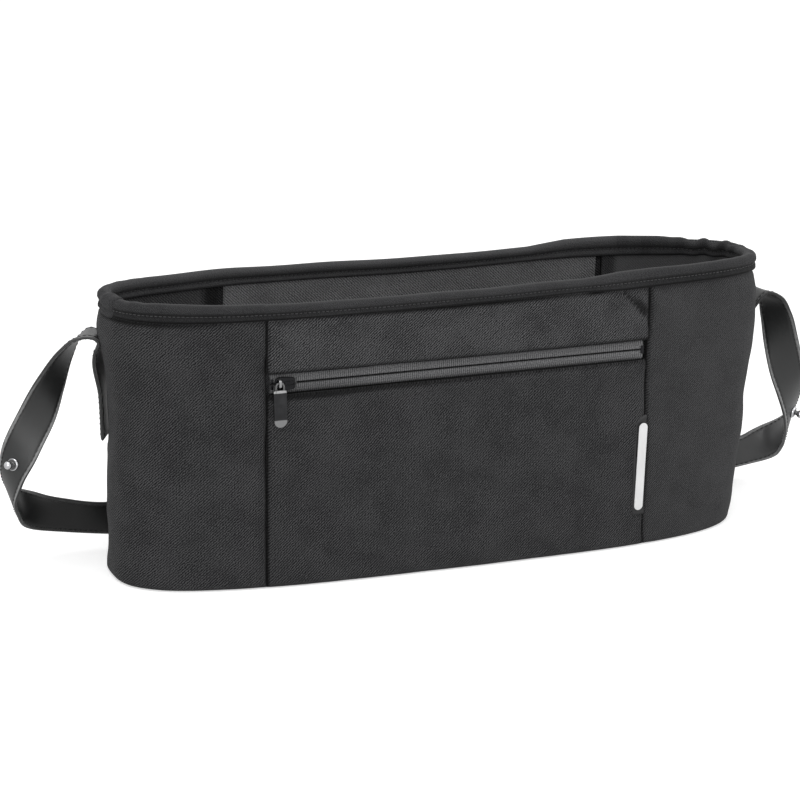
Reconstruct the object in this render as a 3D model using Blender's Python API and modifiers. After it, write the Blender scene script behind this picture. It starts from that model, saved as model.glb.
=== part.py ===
"""Stroller organizer: a long soft caddy with a zipped front pocket and two side straps.

Metres, +Z up. The origin is the centre of the underside, +X runs along the caddy,
and -Y is the front, where the zipped pocket is. Run it in Blender 4.5.
"""
import math

import bmesh
import bpy
import numpy as np
from mathutils import Euler, Vector

# Overall form
HALF_LENGTH = 0.200
# Share of the height, and how far the tip of that end stands past HALF_LENGTH there
LEFT_END_REACH = ((0.0, -0.0020), (0.45, -0.0015), (0.70, 0.0), (0.87, 0.0025), (0.95, 0.0012), (1.0, 0.0005))
RIGHT_END_REACH = ((0.0, -0.0030), (0.23, 0.0), (0.58, 0.0028), (0.82, 0.0048), (0.92, 0.0030), (1.0, 0.0014))
HEIGHT = 0.171
FRONT_DEPTH_BASE = 0.054
FRONT_DEPTH_TOP = 0.052
BACK_DEPTH_BASE = 0.053
BACK_DEPTH_TOP = 0.038
CORNER_POWER = 3.0
BASE_EDGE_RADIUS = 0.005
BASE_HEM = 0.0012
TOP_BACK_SAG = 0.008
END_SWAY = 0.007

# Cloth and gaps
CLEARANCE = 0.0003
SEAM_GAP = 0.0005
PANEL_THICKNESS = 0.0036
FACING_THICKNESS = 0.0020
LINING_THICKNESS = 0.0013
BINDING_THICKNESS = 0.0012
BINDING_HEIGHT = 0.0095
DIVIDER_THICKNESS = 0.0020
DIVIDER_BELOW_RIM = 0.026
FRONT_SEAM_X = 0.120
BACK_SEAM_X = 0.125

# Pocket mouth and its flattened band
ZIP_BELOW_RIM = 0.0482
ZIP_Z = HEIGHT - ZIP_BELOW_RIM
MOUTH_HEIGHT = 0.0136
FLAT_BAND_BELOW_ZIP = 0.0108
FLAT_BAND_SPREAD = 0.022
FLAT_BAND_SHARE = 0.75
RIM_PUFF = 0.0025
RIM_PUFF_HEIGHT = 0.031

# Zip
TAPE_SETBACK = 0.0004
TAPE_THICKNESS = 0.0007
TAPE_HALF_LENGTH = 0.1175
TAPE_TUCK = 0.0040
ZIP_SLIT = 0.0012
COIL_HEIGHT = 0.0020
COIL_THICKNESS = 0.0012
STOP_THICKNESS = 0.0008
STOP_LENGTH = 0.0018
STOP_HEIGHT = 0.0026

# Slider and its bridge
SLIDER_LENGTH = 0.0130
SLIDER_HEIGHT = 0.0090
SLIDER_LEFT_X = -0.1150
FRONT_PLATE_THICKNESS = 0.0016
REAR_PLATE_THICKNESS = 0.0010
POST_LENGTH = 0.0020
POST_THICKNESS = 0.0006
BRIDGE_OFFSET_X = 0.0021
BRIDGE_WIDTH = 0.0016
BRIDGE_BAR = 0.0008
BRIDGE_FOOT = 0.0010
BRIDGE_REACH = 0.0037
BRIDGE_BELOW_AXIS = 0.0033
BRIDGE_ABOVE_AXIS = 0.0023

# Puller, which swings on its own top bar
PULL_AXIS_Z = ZIP_Z + 0.0015
PULL_AXIS_STANDOFF = 0.0019
PULL_LENGTH = 0.0263
PULL_WIDTH = 0.0078
PULL_THICKNESS = 0.0013
PULL_WIRE = 0.0011
PULL_LOOP_RADIUS = 0.0029
PULL_HOLE_DEPTH = 0.0041
PULL_PANEL_GAP = 0.0003

# Label in the right front seam
TAB_LEFT_X = 0.1110
TAB_RIGHT_X = 0.1190
TAB_BOTTOM_Z = 0.0200
TAB_TOP_Z = 0.0790
TAB_SLANT = 0.0040
TAB_THICKNESS = 0.0010
PLATE_CENTRE_X = 0.1160
PLATE_WIDTH = 0.0058
PLATE_BOTTOM_Z = 0.0234
PLATE_TOP_Z = 0.0783
PLATE_LEAN_DEG = 1.8
PLATE_THICKNESS = 0.0008

# Straps
STRAP_WIDTH = 0.0220
STRAP_THICKNESS = 0.0022
STRAP_LIFT = 0.0009
STRAP_STATIONS = 57
STRAP_SIDE_BOTTOM_Z = 0.080
STRAP_SIDE_TOP_Z = 0.134
STRAP_RIGHT_SIDE_TOP_Z = 0.106
STRAP_LEFT_SIDE_Y = 0.0195
STRAP_RIGHT_SIDE_Y = 0.0080
STRAP_BACK_Z = 0.0195
STRAP_BACK_INNER_X = 0.135
STRAP_BACK_OUTER_X = 0.160
STUD_STATION = 28
STUD_SEAT_GAP = 0.0007
STUD_FLANGE_RADIUS = 0.0038
STUD_FLANGE_THICKNESS = 0.0010
STUD_NECK_RADIUS = 0.0014
STUD_NECK_LENGTH = 0.0014
STUD_BALL_RADIUS = 0.0025
SCREW_RADIUS = 0.0036
SCREW_THICKNESS = 0.0009

# Free run of each strap between its two sewn ends: a centre point, then the direction
# across the strap, from the edge that starts nearer the viewer to the other one.
LEFT_FREE_RUN = (
    ((-0.2006, 0.0200, 0.1402), (0.32, 0.94, 0.00)),
    ((-0.2054, 0.0220, 0.1428), (0.34, 0.94, 0.00)),
    ((-0.2112, 0.0240, 0.1400), (0.40, 0.91, -0.15)),
    ((-0.2190, 0.0240, 0.1310), (0.54, 0.74, -0.40)),
    ((-0.2285, 0.0220, 0.1150), (0.76, 0.38, -0.53)),
    ((-0.2380, 0.0190, 0.0970), (0.84, -0.14, -0.52)),
    ((-0.2480, 0.0175, 0.0790), (0.76, -0.46, -0.46)),
    ((-0.2540, 0.0200, 0.0620), (0.38, -0.86, -0.24)),
    ((-0.2535, 0.0270, 0.0490), (0.10, -0.86, -0.46)),
    ((-0.2470, 0.0360, 0.0385), (0.10, -0.58, -0.78)),
    ((-0.2340, 0.0425, 0.0300), (0.00, -0.05, -1.00)),
    ((-0.2160, 0.0455, 0.0245), (-0.03, 0.18, -0.98)),
    ((-0.1960, 0.0455, 0.0208), (-0.03, 0.25, -0.97)),
    ((-0.1770, 0.0436, 0.0197), (0.00, 0.10, -1.00)),
)
RIGHT_FREE_RUN = (
    ((0.2071, 0.0080, 0.1190), (-0.12, 0.99, 0.00)),
    ((0.2140, 0.0080, 0.1310), (-0.10, 0.99, -0.03)),
    ((0.2215, 0.0080, 0.1368), (-0.10, 0.99, -0.04)),
    ((0.2283, 0.0075, 0.1325), (-0.30, 0.94, -0.10)),
    ((0.2335, 0.0070, 0.1200), (-0.58, 0.78, -0.18)),
    ((0.2372, 0.0065, 0.1040), (-0.80, 0.58, -0.20)),
    ((0.2412, 0.0065, 0.0880), (-0.90, 0.24, -0.30)),
    ((0.2460, 0.0080, 0.0720), (-0.84, -0.20, -0.40)),
    ((0.2505, 0.0130, 0.0570), (-0.72, -0.54, -0.40)),
    ((0.2535, 0.0210, 0.0450), (-0.52, -0.62, -0.56)),
    ((0.2540, 0.0300, 0.0355), (-0.32, -0.44, -0.84)),
    ((0.2500, 0.0380, 0.0275), (-0.18, -0.15, -0.97)),
    ((0.2410, 0.0440, 0.0215), (-0.06, 0.10, -0.99)),
    ((0.2260, 0.0465, 0.0176), (0.00, 0.20, -0.98)),
    ((0.2030, 0.0460, 0.0170), (0.00, 0.15, -0.99)),
    ((0.1770, 0.0436, 0.0185), (0.00, 0.10, -1.00)),
)

# Mesh density
END_COLUMNS = 31
END_STEP = 0.008
FACE_COLUMNS = 17
DENSE = 241

# Colours, linear RGB
TWILL = (0.036, 0.037, 0.040)
LINING = (0.060, 0.061, 0.064)
BINDING = (0.014, 0.014, 0.016)
TAPE = (0.075, 0.076, 0.080)
GUNMETAL = (0.10, 0.10, 0.11)
LEATHER = (0.030, 0.031, 0.033)
CHROME = (0.62, 0.62, 0.64)
RUBBER = (0.022, 0.022, 0.024)
WHITE = (0.86, 0.86, 0.86)


def clear_scene():
    """Remove every object that is already in the scene."""
    for item in list(bpy.data.objects):
        bpy.data.objects.remove(item, do_unlink=True)


def make_collection(name):
    """Return a new collection linked to the scene."""
    group = bpy.data.collections.new(name)
    bpy.context.scene.collection.children.link(group)
    return group


def make_material(name, colour, metallic, roughness):
    """Return a Principled material with one colour."""
    material = bpy.data.materials.new(name)
    material.use_nodes = True
    shader = material.node_tree.nodes["Principled BSDF"]
    shader.inputs["Base Color"].default_value = (*colour, 1.0)
    shader.inputs["Metallic"].default_value = metallic
    shader.inputs["Roughness"].default_value = roughness
    return material


def place(item, name, look, parts):
    """Name an object, give it its own material and put it in the parts collection."""
    item.name = name
    for old in list(item.users_collection):
        old.objects.unlink(item)
    parts.objects.link(item)
    item.data.materials.clear()
    item.data.materials.append(make_material(name, *look))
    return item


def mesh_from(name, points, faces):
    """Return an object whose mesh holds the given points and faces."""
    mesh = bpy.data.meshes.new(name)
    mesh.from_pydata([tuple(float(v) for v in p) for p in points], [], faces)
    mesh.validate()
    item = bpy.data.objects.new(name, mesh)
    bpy.context.scene.collection.objects.link(item)
    return item


def grid_object(name, grid):
    """Return an open surface through a (rows, columns, 3) array of points.

    Its faces look along column direction cross row direction.
    """
    rows, columns = grid.shape[:2]
    faces = []
    for j in range(rows - 1):
        for i in range(columns - 1):
            a = j * columns + i
            faces.append((a, a + 1, a + columns + 1, a + columns))
    return mesh_from(name, grid.reshape(-1, 3), faces)


def thicken(item, thickness, side):
    """Give an open surface its thickness: side -1 is inwards, 1 outwards, 0 both."""
    shell = item.modifiers.new("thickness", "SOLIDIFY")
    shell.thickness = thickness
    shell.offset = side
    shell.use_even_offset = True
    return item


def soften(item, width, segments=2):
    """Round the sharp edges of an object."""
    edge = item.modifiers.new("edges", "BEVEL")
    edge.width = width
    edge.segments = segments
    edge.limit_method = "ANGLE"
    edge.angle_limit = math.radians(40)
    return item


def box(name, low, high):
    """Return a box between two corners."""
    bpy.ops.mesh.primitive_cube_add(size=1.0, location=(0, 0, 0))
    item = bpy.context.object
    item.name = name
    size = [b - a for a, b in zip(low, high)]
    for vertex in item.data.vertices:
        vertex.co = Vector([v * s for v, s in zip(vertex.co, size)])
    item.location = [(a + b) / 2 for a, b in zip(low, high)]
    return item


def rise(z):
    """Share of the full height at z, from 0 to 1."""
    return min(max(z / HEIGHT, 0.0), 1.0)


def front_depth(z):
    """Depth of the outline in front of the middle plane, at height z."""
    return FRONT_DEPTH_BASE + (FRONT_DEPTH_TOP - FRONT_DEPTH_BASE) * rise(z)


def back_depth(z):
    """Depth of the outline behind the middle plane, at height z."""
    return BACK_DEPTH_BASE + (BACK_DEPTH_TOP - BACK_DEPTH_BASE) * rise(z)


def round_depth(x, depth):
    """Depth at x of a rounded rectangle with the given depth in the middle."""
    share = np.clip(np.abs(x) / HALF_LENGTH, 0.0, 1.0)
    return depth * (1.0 - share ** CORNER_POWER) ** (1.0 / CORNER_POWER)


def front_swell(z):
    """How much of the front's bow is left at height z: the zip keeps a band flat."""
    band_z = ZIP_Z - FLAT_BAND_BELOW_ZIP
    band = FLAT_BAND_SHARE * math.exp(-((z - band_z) / FLAT_BAND_SPREAD) ** 2)
    return 1.0 - band


def sway(x, z):
    """Shift of the ends along Y: the left end leans back and the right end forward."""
    past_seam = np.clip((np.abs(x) - FRONT_SEAM_X) / (HALF_LENGTH - FRONT_SEAM_X), 0.0, 1.0)
    return -END_SWAY * np.sign(x) * past_seam ** 2 * rise(z)


def front_y(x, z):
    """Outer face of the front at x and z."""
    bow = round_depth(x, front_depth(z))
    seam = round_depth(np.array(FRONT_SEAM_X), front_depth(z))
    puff_share = np.clip((z - HEIGHT + RIM_PUFF_HEIGHT) / RIM_PUFF_HEIGHT, 0.0, 1.0)
    puff = RIM_PUFF * puff_share * np.clip(1.0 - (np.abs(x) / FRONT_SEAM_X) ** 2, 0.0, 1.0)
    pocket = seam + (bow - seam) * front_swell(z) + puff
    depth = np.where(np.abs(x) < FRONT_SEAM_X, pocket, bow)
    return -depth + sway(x, z)


def back_y(x, z):
    """Outer face of the back at x and z."""
    wave = np.cos(np.clip(np.abs(x) / BACK_SEAM_X, 0.0, 1.0) * math.pi / 2) ** 2
    return round_depth(x, back_depth(z)) - TOP_BACK_SAG * rise(z) ** 2 * wave + sway(x, z)


def end_reach(side, z):
    """How far the tip of an end stands past HALF_LENGTH at height z."""
    table = np.array(LEFT_END_REACH if side == "left" else RIGHT_END_REACH)
    return float(smooth(table[:, 1:], table[:, 0], np.array([rise(z)]))[0, 0])


def outline(z, start_x, end_x, side, count, trim=0.0):
    """Points of the outer outline at height z, evenly spaced along it.

    side is "front" or "back" between two seams, or "left" or "right" around an end,
    from seam to seam. The outline always runs anticlockwise seen from above.
    """
    if side == "front":
        x = np.linspace(start_x, end_x, DENSE)
        y = front_y(x, z)
    elif side == "back":
        x = np.linspace(start_x, end_x, DENSE)
        y = back_y(x, z)
    else:
        way = 1.0 if side == "right" else -1.0
        turn = np.linspace(0.0, math.pi / 2, DENSE)
        front = FRONT_SEAM_X + (HALF_LENGTH - FRONT_SEAM_X) * np.sin(turn)
        back = BACK_SEAM_X + (HALF_LENGTH - BACK_SEAM_X) * np.sin(turn)
        tip = HALF_LENGTH + end_reach(side, z)
        front_x = FRONT_SEAM_X + (tip - FRONT_SEAM_X) * np.sin(turn)
        back_x = BACK_SEAM_X + (tip - BACK_SEAM_X) * np.sin(turn)
        if side == "right":
            x = np.concatenate([front_x, back_x[::-1][1:]])
            y = np.concatenate([front_y(front, z), back_y(back[::-1][1:], z)])
        else:
            x = way * np.concatenate([back_x, front_x[::-1][1:]])
            y = np.concatenate([back_y(way * back, z), front_y(way * front[::-1][1:], z)])
    step = np.hypot(np.diff(x), np.diff(y))
    length = np.concatenate([[0.0], np.cumsum(step)])
    wanted = np.linspace(trim, length[-1] - trim, count)
    return np.stack([np.interp(wanted, length, x), np.interp(wanted, length, y)], axis=1)


def outward(points):
    """Unit normals of an open anticlockwise run of points."""
    tangent = np.gradient(points, axis=0)
    tangent /= np.linalg.norm(tangent, axis=1)[:, None]
    return np.stack([tangent[:, 1], -tangent[:, 0]], axis=1)


def wall_levels(bottom, top, step=0.020):
    """Heights and insets of a wall's rows, with the round bottom edge if it has one."""
    levels = []
    if bottom < BASE_EDGE_RADIUS:
        levels.append((0.0, BASE_EDGE_RADIUS + BASE_HEM))
        for turn in np.linspace(0.0, math.pi / 2, 5):
            z = BASE_EDGE_RADIUS * (1.0 - math.cos(turn))
            levels.append((z, BASE_EDGE_RADIUS * (1.0 - math.sin(turn))))
        bottom = BASE_EDGE_RADIUS
    else:
        levels.append((bottom, 0.0))
    count = max(2, int(round((top - bottom) / step)) + 1)
    levels.extend((z, 0.0) for z in np.linspace(bottom, top, count)[1:])
    return levels


def wall(name, side, start_x, end_x, bottom, top, columns, step=0.020):
    """Return the open outer surface of one wall panel."""
    rows = []
    for z, inset in wall_levels(bottom, top, step):
        points = outline(z, start_x, end_x, side, columns, SEAM_GAP / 2)
        points = points - outward(points) * inset
        rows.append(np.column_stack([points, np.full(columns, z)]))
    return grid_object(name, np.array(rows))


def top_of_walls():
    """Height at which the cloth ends under the binding."""
    return HEIGHT - BINDING_THICKNESS - CLEARANCE


def build_end_panels(parts):
    """Padded panel around each end, from the front seam to the back seam."""
    for side in ("left", "right"):
        item = wall(f"{side}_end_panel", side, 0, 0, 0.0, top_of_walls(), END_COLUMNS, END_STEP)
        thicken(item, PANEL_THICKNESS, -1)
        place(item, f"{side}_end_panel", (TWILL, 0.0, 0.9), parts)


def build_back_panels(parts):
    """Outer back panel, and the lighter panel that lines it inside."""
    outer = wall("back_panel", "back", BACK_SEAM_X, -BACK_SEAM_X, 0.0, top_of_walls(), FACE_COLUMNS)
    thicken(outer, FACING_THICKNESS, -1)
    place(outer, "back_panel", (TWILL, 0.0, 0.9), parts)

    depth = FACING_THICKNESS + CLEARANCE
    rows = []
    half = divider_x() - DIVIDER_THICKNESS / 2 - SEAM_GAP
    for z in np.linspace(inner_floor_z() + BASE_EDGE_RADIUS, top_of_walls(), 9):
        x = np.linspace(half, -half, FACE_COLUMNS)
        rows.append(np.column_stack([x, back_y(x, z) - depth, np.full(FACE_COLUMNS, z)]))
    inner = grid_object("inner_back_panel", np.array(rows))
    thicken(inner, LINING_THICKNESS, -1)
    place(inner, "inner_back_panel", (LINING, 0.0, 0.9), parts)


def build_pocket(parts):
    """Front pocket: a panel below the zip, a panel above it and the lining behind."""
    lower_top = ZIP_Z - MOUTH_HEIGHT / 2
    upper_bottom = ZIP_Z + MOUTH_HEIGHT / 2
    spans = (
        ("pocket_lower_panel", 0.0, lower_top, 0.013),
        ("pocket_upper_panel", upper_bottom, top_of_walls(), 0.008),
    )
    for name, low, high, step in spans:
        item = wall(name, "front", -FRONT_SEAM_X, FRONT_SEAM_X, low, high, FACE_COLUMNS, step)
        thicken(item, FACING_THICKNESS, -1)
        place(item, name, (TWILL, 0.0, 0.9), parts)

    half = FRONT_SEAM_X - SEAM_GAP - CLEARANCE
    x = np.linspace(-half, half, FACE_COLUMNS)
    join_z = HEIGHT - BINDING_HEIGHT - 0.004
    levels = [*np.linspace(inner_floor_z() + 0.001, join_z - 0.018, 6)]
    levels += [join_z - 0.009, join_z, top_of_walls()]
    rows = []
    for z in levels:
        under_rim = front_y(x, z) + FACING_THICKNESS + CLEARANCE
        share = np.clip((z - (join_z - 0.018)) / 0.018, 0.0, 1.0)
        share = share * share * (3 - 2 * share)
        y = lining_plane_y() * (1 - share) + under_rim * share
        rows.append(np.column_stack([x, y, np.full(FACE_COLUMNS, z)]))
    lining = grid_object("pocket_lining", np.array(rows))
    thicken(lining, LINING_THICKNESS, -1)
    place(lining, "pocket_lining", (LINING, 0.0, 0.9), parts)


def build_base(parts):
    """Flat base panel, sewn inside the round bottom edge."""
    runs = (
        ("front", -FRONT_SEAM_X, FRONT_SEAM_X, 13),
        ("right", 0, 0, 21),
        ("back", BACK_SEAM_X, -BACK_SEAM_X, 13),
        ("left", 0, 0, 21),
    )
    points = []
    for side, start, end, count in runs:
        run = outline(0.0, start, end, side, count)
        points.append((run - outward(run) * (BASE_EDGE_RADIUS + BASE_HEM + CLEARANCE))[1:-1])
    shape = bpy.data.curves.new("base_panel", "CURVE")
    shape.dimensions = "2D"
    shape.fill_mode = "BOTH"
    shape.extrude = PANEL_THICKNESS / 2
    line = shape.splines.new("POLY")
    flat = np.concatenate(points)
    line.points.add(len(flat) - 1)
    for knot, (x, y) in zip(line.points, flat):
        knot.co = (x, y, 0.0, 1.0)
    line.use_cyclic_u = True
    item = bpy.data.objects.new("base_panel", shape)
    item.location = (0.0, 0.0, PANEL_THICKNESS / 2)
    bpy.context.scene.collection.objects.link(item)
    place(item, "base_panel", (TWILL, 0.0, 0.9), parts)


def inner_floor_z():
    """Height just above the base panel."""
    return PANEL_THICKNESS + CLEARANCE


def inner_inset(z):
    """Inset from the outline to the inner face of a wall, also round the bottom edge."""
    if z >= BASE_EDGE_RADIUS:
        return PANEL_THICKNESS
    inside = BASE_EDGE_RADIUS - PANEL_THICKNESS
    drop = BASE_EDGE_RADIUS - z
    return BASE_EDGE_RADIUS - math.sqrt(max(inside ** 2 - drop ** 2, 0.0))


def divider_x():
    """Distance of each divider's middle plane from the centre."""
    return FRONT_SEAM_X + SEAM_GAP + DIVIDER_THICKNESS / 2 + CLEARANCE


def build_dividers(parts):
    """Cloth divider at each end of the centre compartment, for the side cup spaces."""
    low = inner_floor_z() + CLEARANCE
    levels = [*np.linspace(low, BASE_EDGE_RADIUS, 5), *np.linspace(BASE_EDGE_RADIUS, HEIGHT - DIVIDER_BELOW_RIM, 8)[1:]]
    for side, way in (("left", -1.0), ("right", 1.0)):
        x = way * divider_x()
        reach = DIVIDER_THICKNESS / 2 * np.array([-1.0, 1.0])
        rows = []
        for z in levels:
            gap = inner_inset(z) + 2 * CLEARANCE
            front = max(front_y(x + reach, z)) + gap
            back = min(back_y(x + reach, z)) - gap
            y = np.linspace(front, back, 7)
            rows.append(np.column_stack([np.full(7, x), y, np.full(7, z)]))
        item = grid_object(f"{side}_divider", np.array(rows))
        thicken(item, DIVIDER_THICKNESS, 0)
        place(item, f"{side}_divider", (LINING, 0.0, 0.9), parts)


def rim_line(z):
    """Closed outline at height z through the same points as the walls under it."""
    runs = (
        outline(z, -FRONT_SEAM_X, FRONT_SEAM_X, "front", FACE_COLUMNS, SEAM_GAP / 2),
        outline(z, 0, 0, "right", END_COLUMNS, SEAM_GAP / 2),
        outline(z, BACK_SEAM_X, -BACK_SEAM_X, "back", FACE_COLUMNS, SEAM_GAP / 2),
        outline(z, 0, 0, "left", END_COLUMNS, SEAM_GAP / 2),
    )
    return np.concatenate(runs)


def shifted(points, reach):
    """Closed anticlockwise run of points moved outwards by an even distance."""
    edge = np.roll(points, -1, axis=0) - points
    edge /= np.linalg.norm(edge, axis=1)[:, None]
    after = np.stack([edge[:, 1], -edge[:, 0]], axis=1)
    middle = after + np.roll(after, 1, axis=0)
    middle /= np.linalg.norm(middle, axis=1)[:, None]
    return points + middle * (reach / np.sum(middle * after, axis=1))[:, None]


def build_binding(parts):
    """Folded binding over the whole rim: an upside-down U with the cloth inside it."""
    out = CLEARANCE + BINDING_THICKNESS
    inner = -PANEL_THICKNESS - CLEARANCE
    low = HEIGHT - BINDING_HEIGHT
    shoulder = BINDING_THICKNESS * 0.6
    section = (
        (out, low), (out, HEIGHT - shoulder), (out - shoulder, HEIGHT),
        (inner - BINDING_THICKNESS + shoulder, HEIGHT), (inner - BINDING_THICKNESS, HEIGHT - shoulder),
        (inner - BINDING_THICKNESS, low), (inner, low), (inner, HEIGHT - BINDING_THICKNESS),
        (CLEARANCE, HEIGHT - BINDING_THICKNESS), (CLEARANCE, low),
    )
    rings = []
    for reach, z in section:
        points = shifted(rim_line(z), reach)
        rings.append(np.column_stack([points, np.full(len(points), z)]))
    rings = np.array(rings)
    tall, around = rings.shape[:2]
    faces = []
    for k in range(tall):
        after = (k + 1) % tall
        for i in range(around):
            j = (i + 1) % around
            faces.append((k * around + i, k * around + j, after * around + j, after * around + i))
    item = mesh_from("rim_binding", rings.reshape(-1, 3), faces)
    place(item, "rim_binding", (BINDING, 0.0, 0.8), parts)


def tape_face_y():
    """Front face of the zip tapes, just behind the pocket panel at its flattest."""
    seam = float(round_depth(np.array(FRONT_SEAM_X), front_depth(ZIP_Z)))
    return -seam + FACING_THICKNESS + TAPE_SETBACK


def lining_plane_y():
    """Front face of the pocket lining, just behind the slider's rear plate."""
    return slider_rear_y() + REAR_PLATE_THICKNESS + CLEARANCE


def build_zip(parts):
    """Zip tapes, the coil rows behind them and the end stops."""
    face = tape_face_y()
    tape_back = face + TAPE_THICKNESS
    coil_front = tape_back + CLEARANCE
    reach = MOUTH_HEIGHT / 2 + TAPE_TUCK
    for name, way in (("upper", 1.0), ("lower", -1.0)):
        near = ZIP_Z + way * ZIP_SLIT / 2
        far = ZIP_Z + way * reach
        tape = box(
            f"zip_tape_{name}",
            (-TAPE_HALF_LENGTH, face, min(near, far)),
            (TAPE_HALF_LENGTH, tape_back, max(near, far)),
        )
        place(tape, f"zip_tape_{name}", (TAPE, 0.0, 0.8), parts)
        far = near + way * COIL_HEIGHT
        coil = box(
            f"zip_coil_{name}",
            (-TAPE_HALF_LENGTH, coil_front, min(near, far)),
            (TAPE_HALF_LENGTH, coil_front + COIL_THICKNESS, max(near, far)),
        )
        soften(coil, COIL_THICKNESS * 0.25)
        place(coil, f"zip_coil_{name}", (TAPE, 0.0, 0.5), parts)
        start = -TAPE_HALF_LENGTH
        edge = ZIP_Z + way * ZIP_SLIT / 2
        far = edge + way * STOP_HEIGHT
        stop = box(
            f"zip_top_stop_{name}",
            (start, face - CLEARANCE - STOP_THICKNESS, min(edge, far)),
            (start + STOP_LENGTH, face - CLEARANCE, max(edge, far)),
        )
        soften(stop, STOP_THICKNESS * 0.25)
        place(stop, f"zip_top_stop_{name}", (GUNMETAL, 1.0, 0.35), parts)
    stop = box(
        "zip_bottom_stop",
        (TAPE_HALF_LENGTH - STOP_LENGTH, face - CLEARANCE - STOP_THICKNESS, ZIP_Z - STOP_HEIGHT),
        (TAPE_HALF_LENGTH, face - CLEARANCE, ZIP_Z + STOP_HEIGHT),
    )
    soften(stop, STOP_THICKNESS * 0.25)
    place(stop, "zip_bottom_stop", (GUNMETAL, 1.0, 0.35), parts)


def slider_face_y():
    """Front face of the slider's front plate."""
    return tape_face_y() - CLEARANCE - FRONT_PLATE_THICKNESS


def slider_rear_y():
    """Front face of the slider's rear plate, behind the coil rows."""
    return tape_face_y() + TAPE_THICKNESS + COIL_THICKNESS + 2 * CLEARANCE


def pull_axis():
    """Centre of the puller's top bar, where it swings."""
    y = slider_face_y() - PULL_AXIS_STANDOFF
    return Vector((SLIDER_LEFT_X + BRIDGE_OFFSET_X, y, PULL_AXIS_Z))


def pull_lean():
    """Rest angle of the puller, so that its back clears the panel's bow along the zip."""
    axis = pull_axis()
    needed = 0.0
    lip = axis.z - (ZIP_Z - MOUTH_HEIGHT / 2)
    for reach in np.linspace(lip, PULL_LENGTH, 12):
        bow = float(front_y(np.array(0.0), axis.z - reach))
        gap = axis.y + PULL_THICKNESS / 2 + PULL_PANEL_GAP - bow
        needed = max(needed, math.asin(gap / reach))
    return needed


def join(base, piece, cutters):
    """Add a Boolean union of another box to a mesh object."""
    for old in list(piece.users_collection):
        old.objects.unlink(piece)
    cutters.objects.link(piece)
    piece.hide_render = True
    piece.display_type = "WIRE"
    union = base.modifiers.new(piece.name, "BOOLEAN")
    union.operation = "UNION"
    union.solver = "EXACT"
    union.object = piece


def build_slider(parts, cutters):
    """Zip slider: two plates joined by a thin post, with a bridge for the puller."""
    right = SLIDER_LEFT_X + SLIDER_LENGTH
    half = SLIDER_HEIGHT / 2
    front = slider_face_y()
    rear = slider_rear_y()
    overlap = REAR_PLATE_THICKNESS / 3
    body = box(
        "zip_slider",
        (SLIDER_LEFT_X, front, ZIP_Z - half),
        (right, front + FRONT_PLATE_THICKNESS, ZIP_Z + half),
    )
    soften(body, FRONT_PLATE_THICKNESS * 0.3, 3)
    place(body, "zip_slider", (GUNMETAL, 1.0, 0.35), parts)
    join(body, box(
        "slider_post",
        (SLIDER_LEFT_X + CLEARANCE, front + FRONT_PLATE_THICKNESS / 2, ZIP_Z - POST_THICKNESS / 2),
        (SLIDER_LEFT_X + POST_LENGTH, rear + overlap, ZIP_Z + POST_THICKNESS / 2),
    ), cutters)
    join(body, box(
        "slider_rear_plate",
        (SLIDER_LEFT_X, rear, ZIP_Z - half),
        (right, rear + REAR_PLATE_THICKNESS, ZIP_Z + half),
    ), cutters)
    axis = pull_axis()
    left_x = axis.x - BRIDGE_WIDTH / 2
    right_x = axis.x + BRIDGE_WIDTH / 2
    bar_front = front - BRIDGE_REACH
    low = axis.z - BRIDGE_BELOW_AXIS
    high = axis.z + BRIDGE_ABOVE_AXIS
    sunk = front + FRONT_PLATE_THICKNESS / 2
    for name, bottom, top in (("lower", low, low + BRIDGE_FOOT), ("upper", high - BRIDGE_FOOT, high)):
        join(body, box(f"bridge_{name}_foot", (left_x, bar_front, bottom), (right_x, sunk, top)), cutters)
    bar_low = low + BRIDGE_FOOT / 2
    bar_high = high - BRIDGE_FOOT / 2
    inset = BRIDGE_WIDTH / 20
    join(body, box(
        "bridge_bar",
        (left_x + inset, bar_front + inset, bar_low),
        (right_x - inset, bar_front + BRIDGE_BAR, bar_high),
    ), cutters)


def build_puller(parts):
    """Flat puller with a loop at its top, hung on the slider's bridge."""
    shape = bpy.data.curves.new("zip_puller", "CURVE")
    shape.dimensions = "2D"
    shape.fill_mode = "BOTH"
    shape.bevel_depth = PULL_THICKNESS * 0.15
    shape.bevel_resolution = 1
    shape.extrude = PULL_THICKNESS / 2 - shape.bevel_depth
    shape.offset = -shape.bevel_depth
    half = PULL_WIDTH / 2
    loop_y = PULL_WIRE / 2 - PULL_LOOP_RADIUS
    tip_y = -PULL_LENGTH + half
    outer = [(PULL_LOOP_RADIUS * math.cos(t), loop_y + PULL_LOOP_RADIUS * math.sin(t))
             for t in np.linspace(0.0, math.pi, 11)]
    shoulder = -PULL_HOLE_DEPTH
    outer += [(-PULL_LOOP_RADIUS, shoulder), (-half, shoulder - PULL_WIRE / 2)]
    outer += [(half * math.cos(t), tip_y + half * math.sin(t))
              for t in np.linspace(math.pi, 2 * math.pi, 15)]
    outer += [(half, shoulder - PULL_WIRE / 2), (PULL_LOOP_RADIUS, shoulder)]
    inside = PULL_LOOP_RADIUS - PULL_WIRE
    hole = [(inside * math.cos(t), loop_y + inside * math.sin(t)) for t in np.linspace(0.0, math.pi, 9)]
    hole += [(-inside, shoulder), (inside, shoulder)]
    for ring in (outer, hole):
        line = shape.splines.new("POLY")
        line.points.add(len(ring) - 1)
        for knot, (x, y) in zip(line.points, ring):
            knot.co = (x, y, 0.0, 1.0)
        line.use_cyclic_u = True
    item = bpy.data.objects.new("zip_puller", shape)
    bpy.context.scene.collection.objects.link(item)
    item.location = pull_axis()
    item.rotation_euler = Euler((math.radians(90) - pull_lean(), 0.0, 0.0))
    place(item, "zip_puller", (GUNMETAL, 1.0, 0.35), parts)


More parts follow.
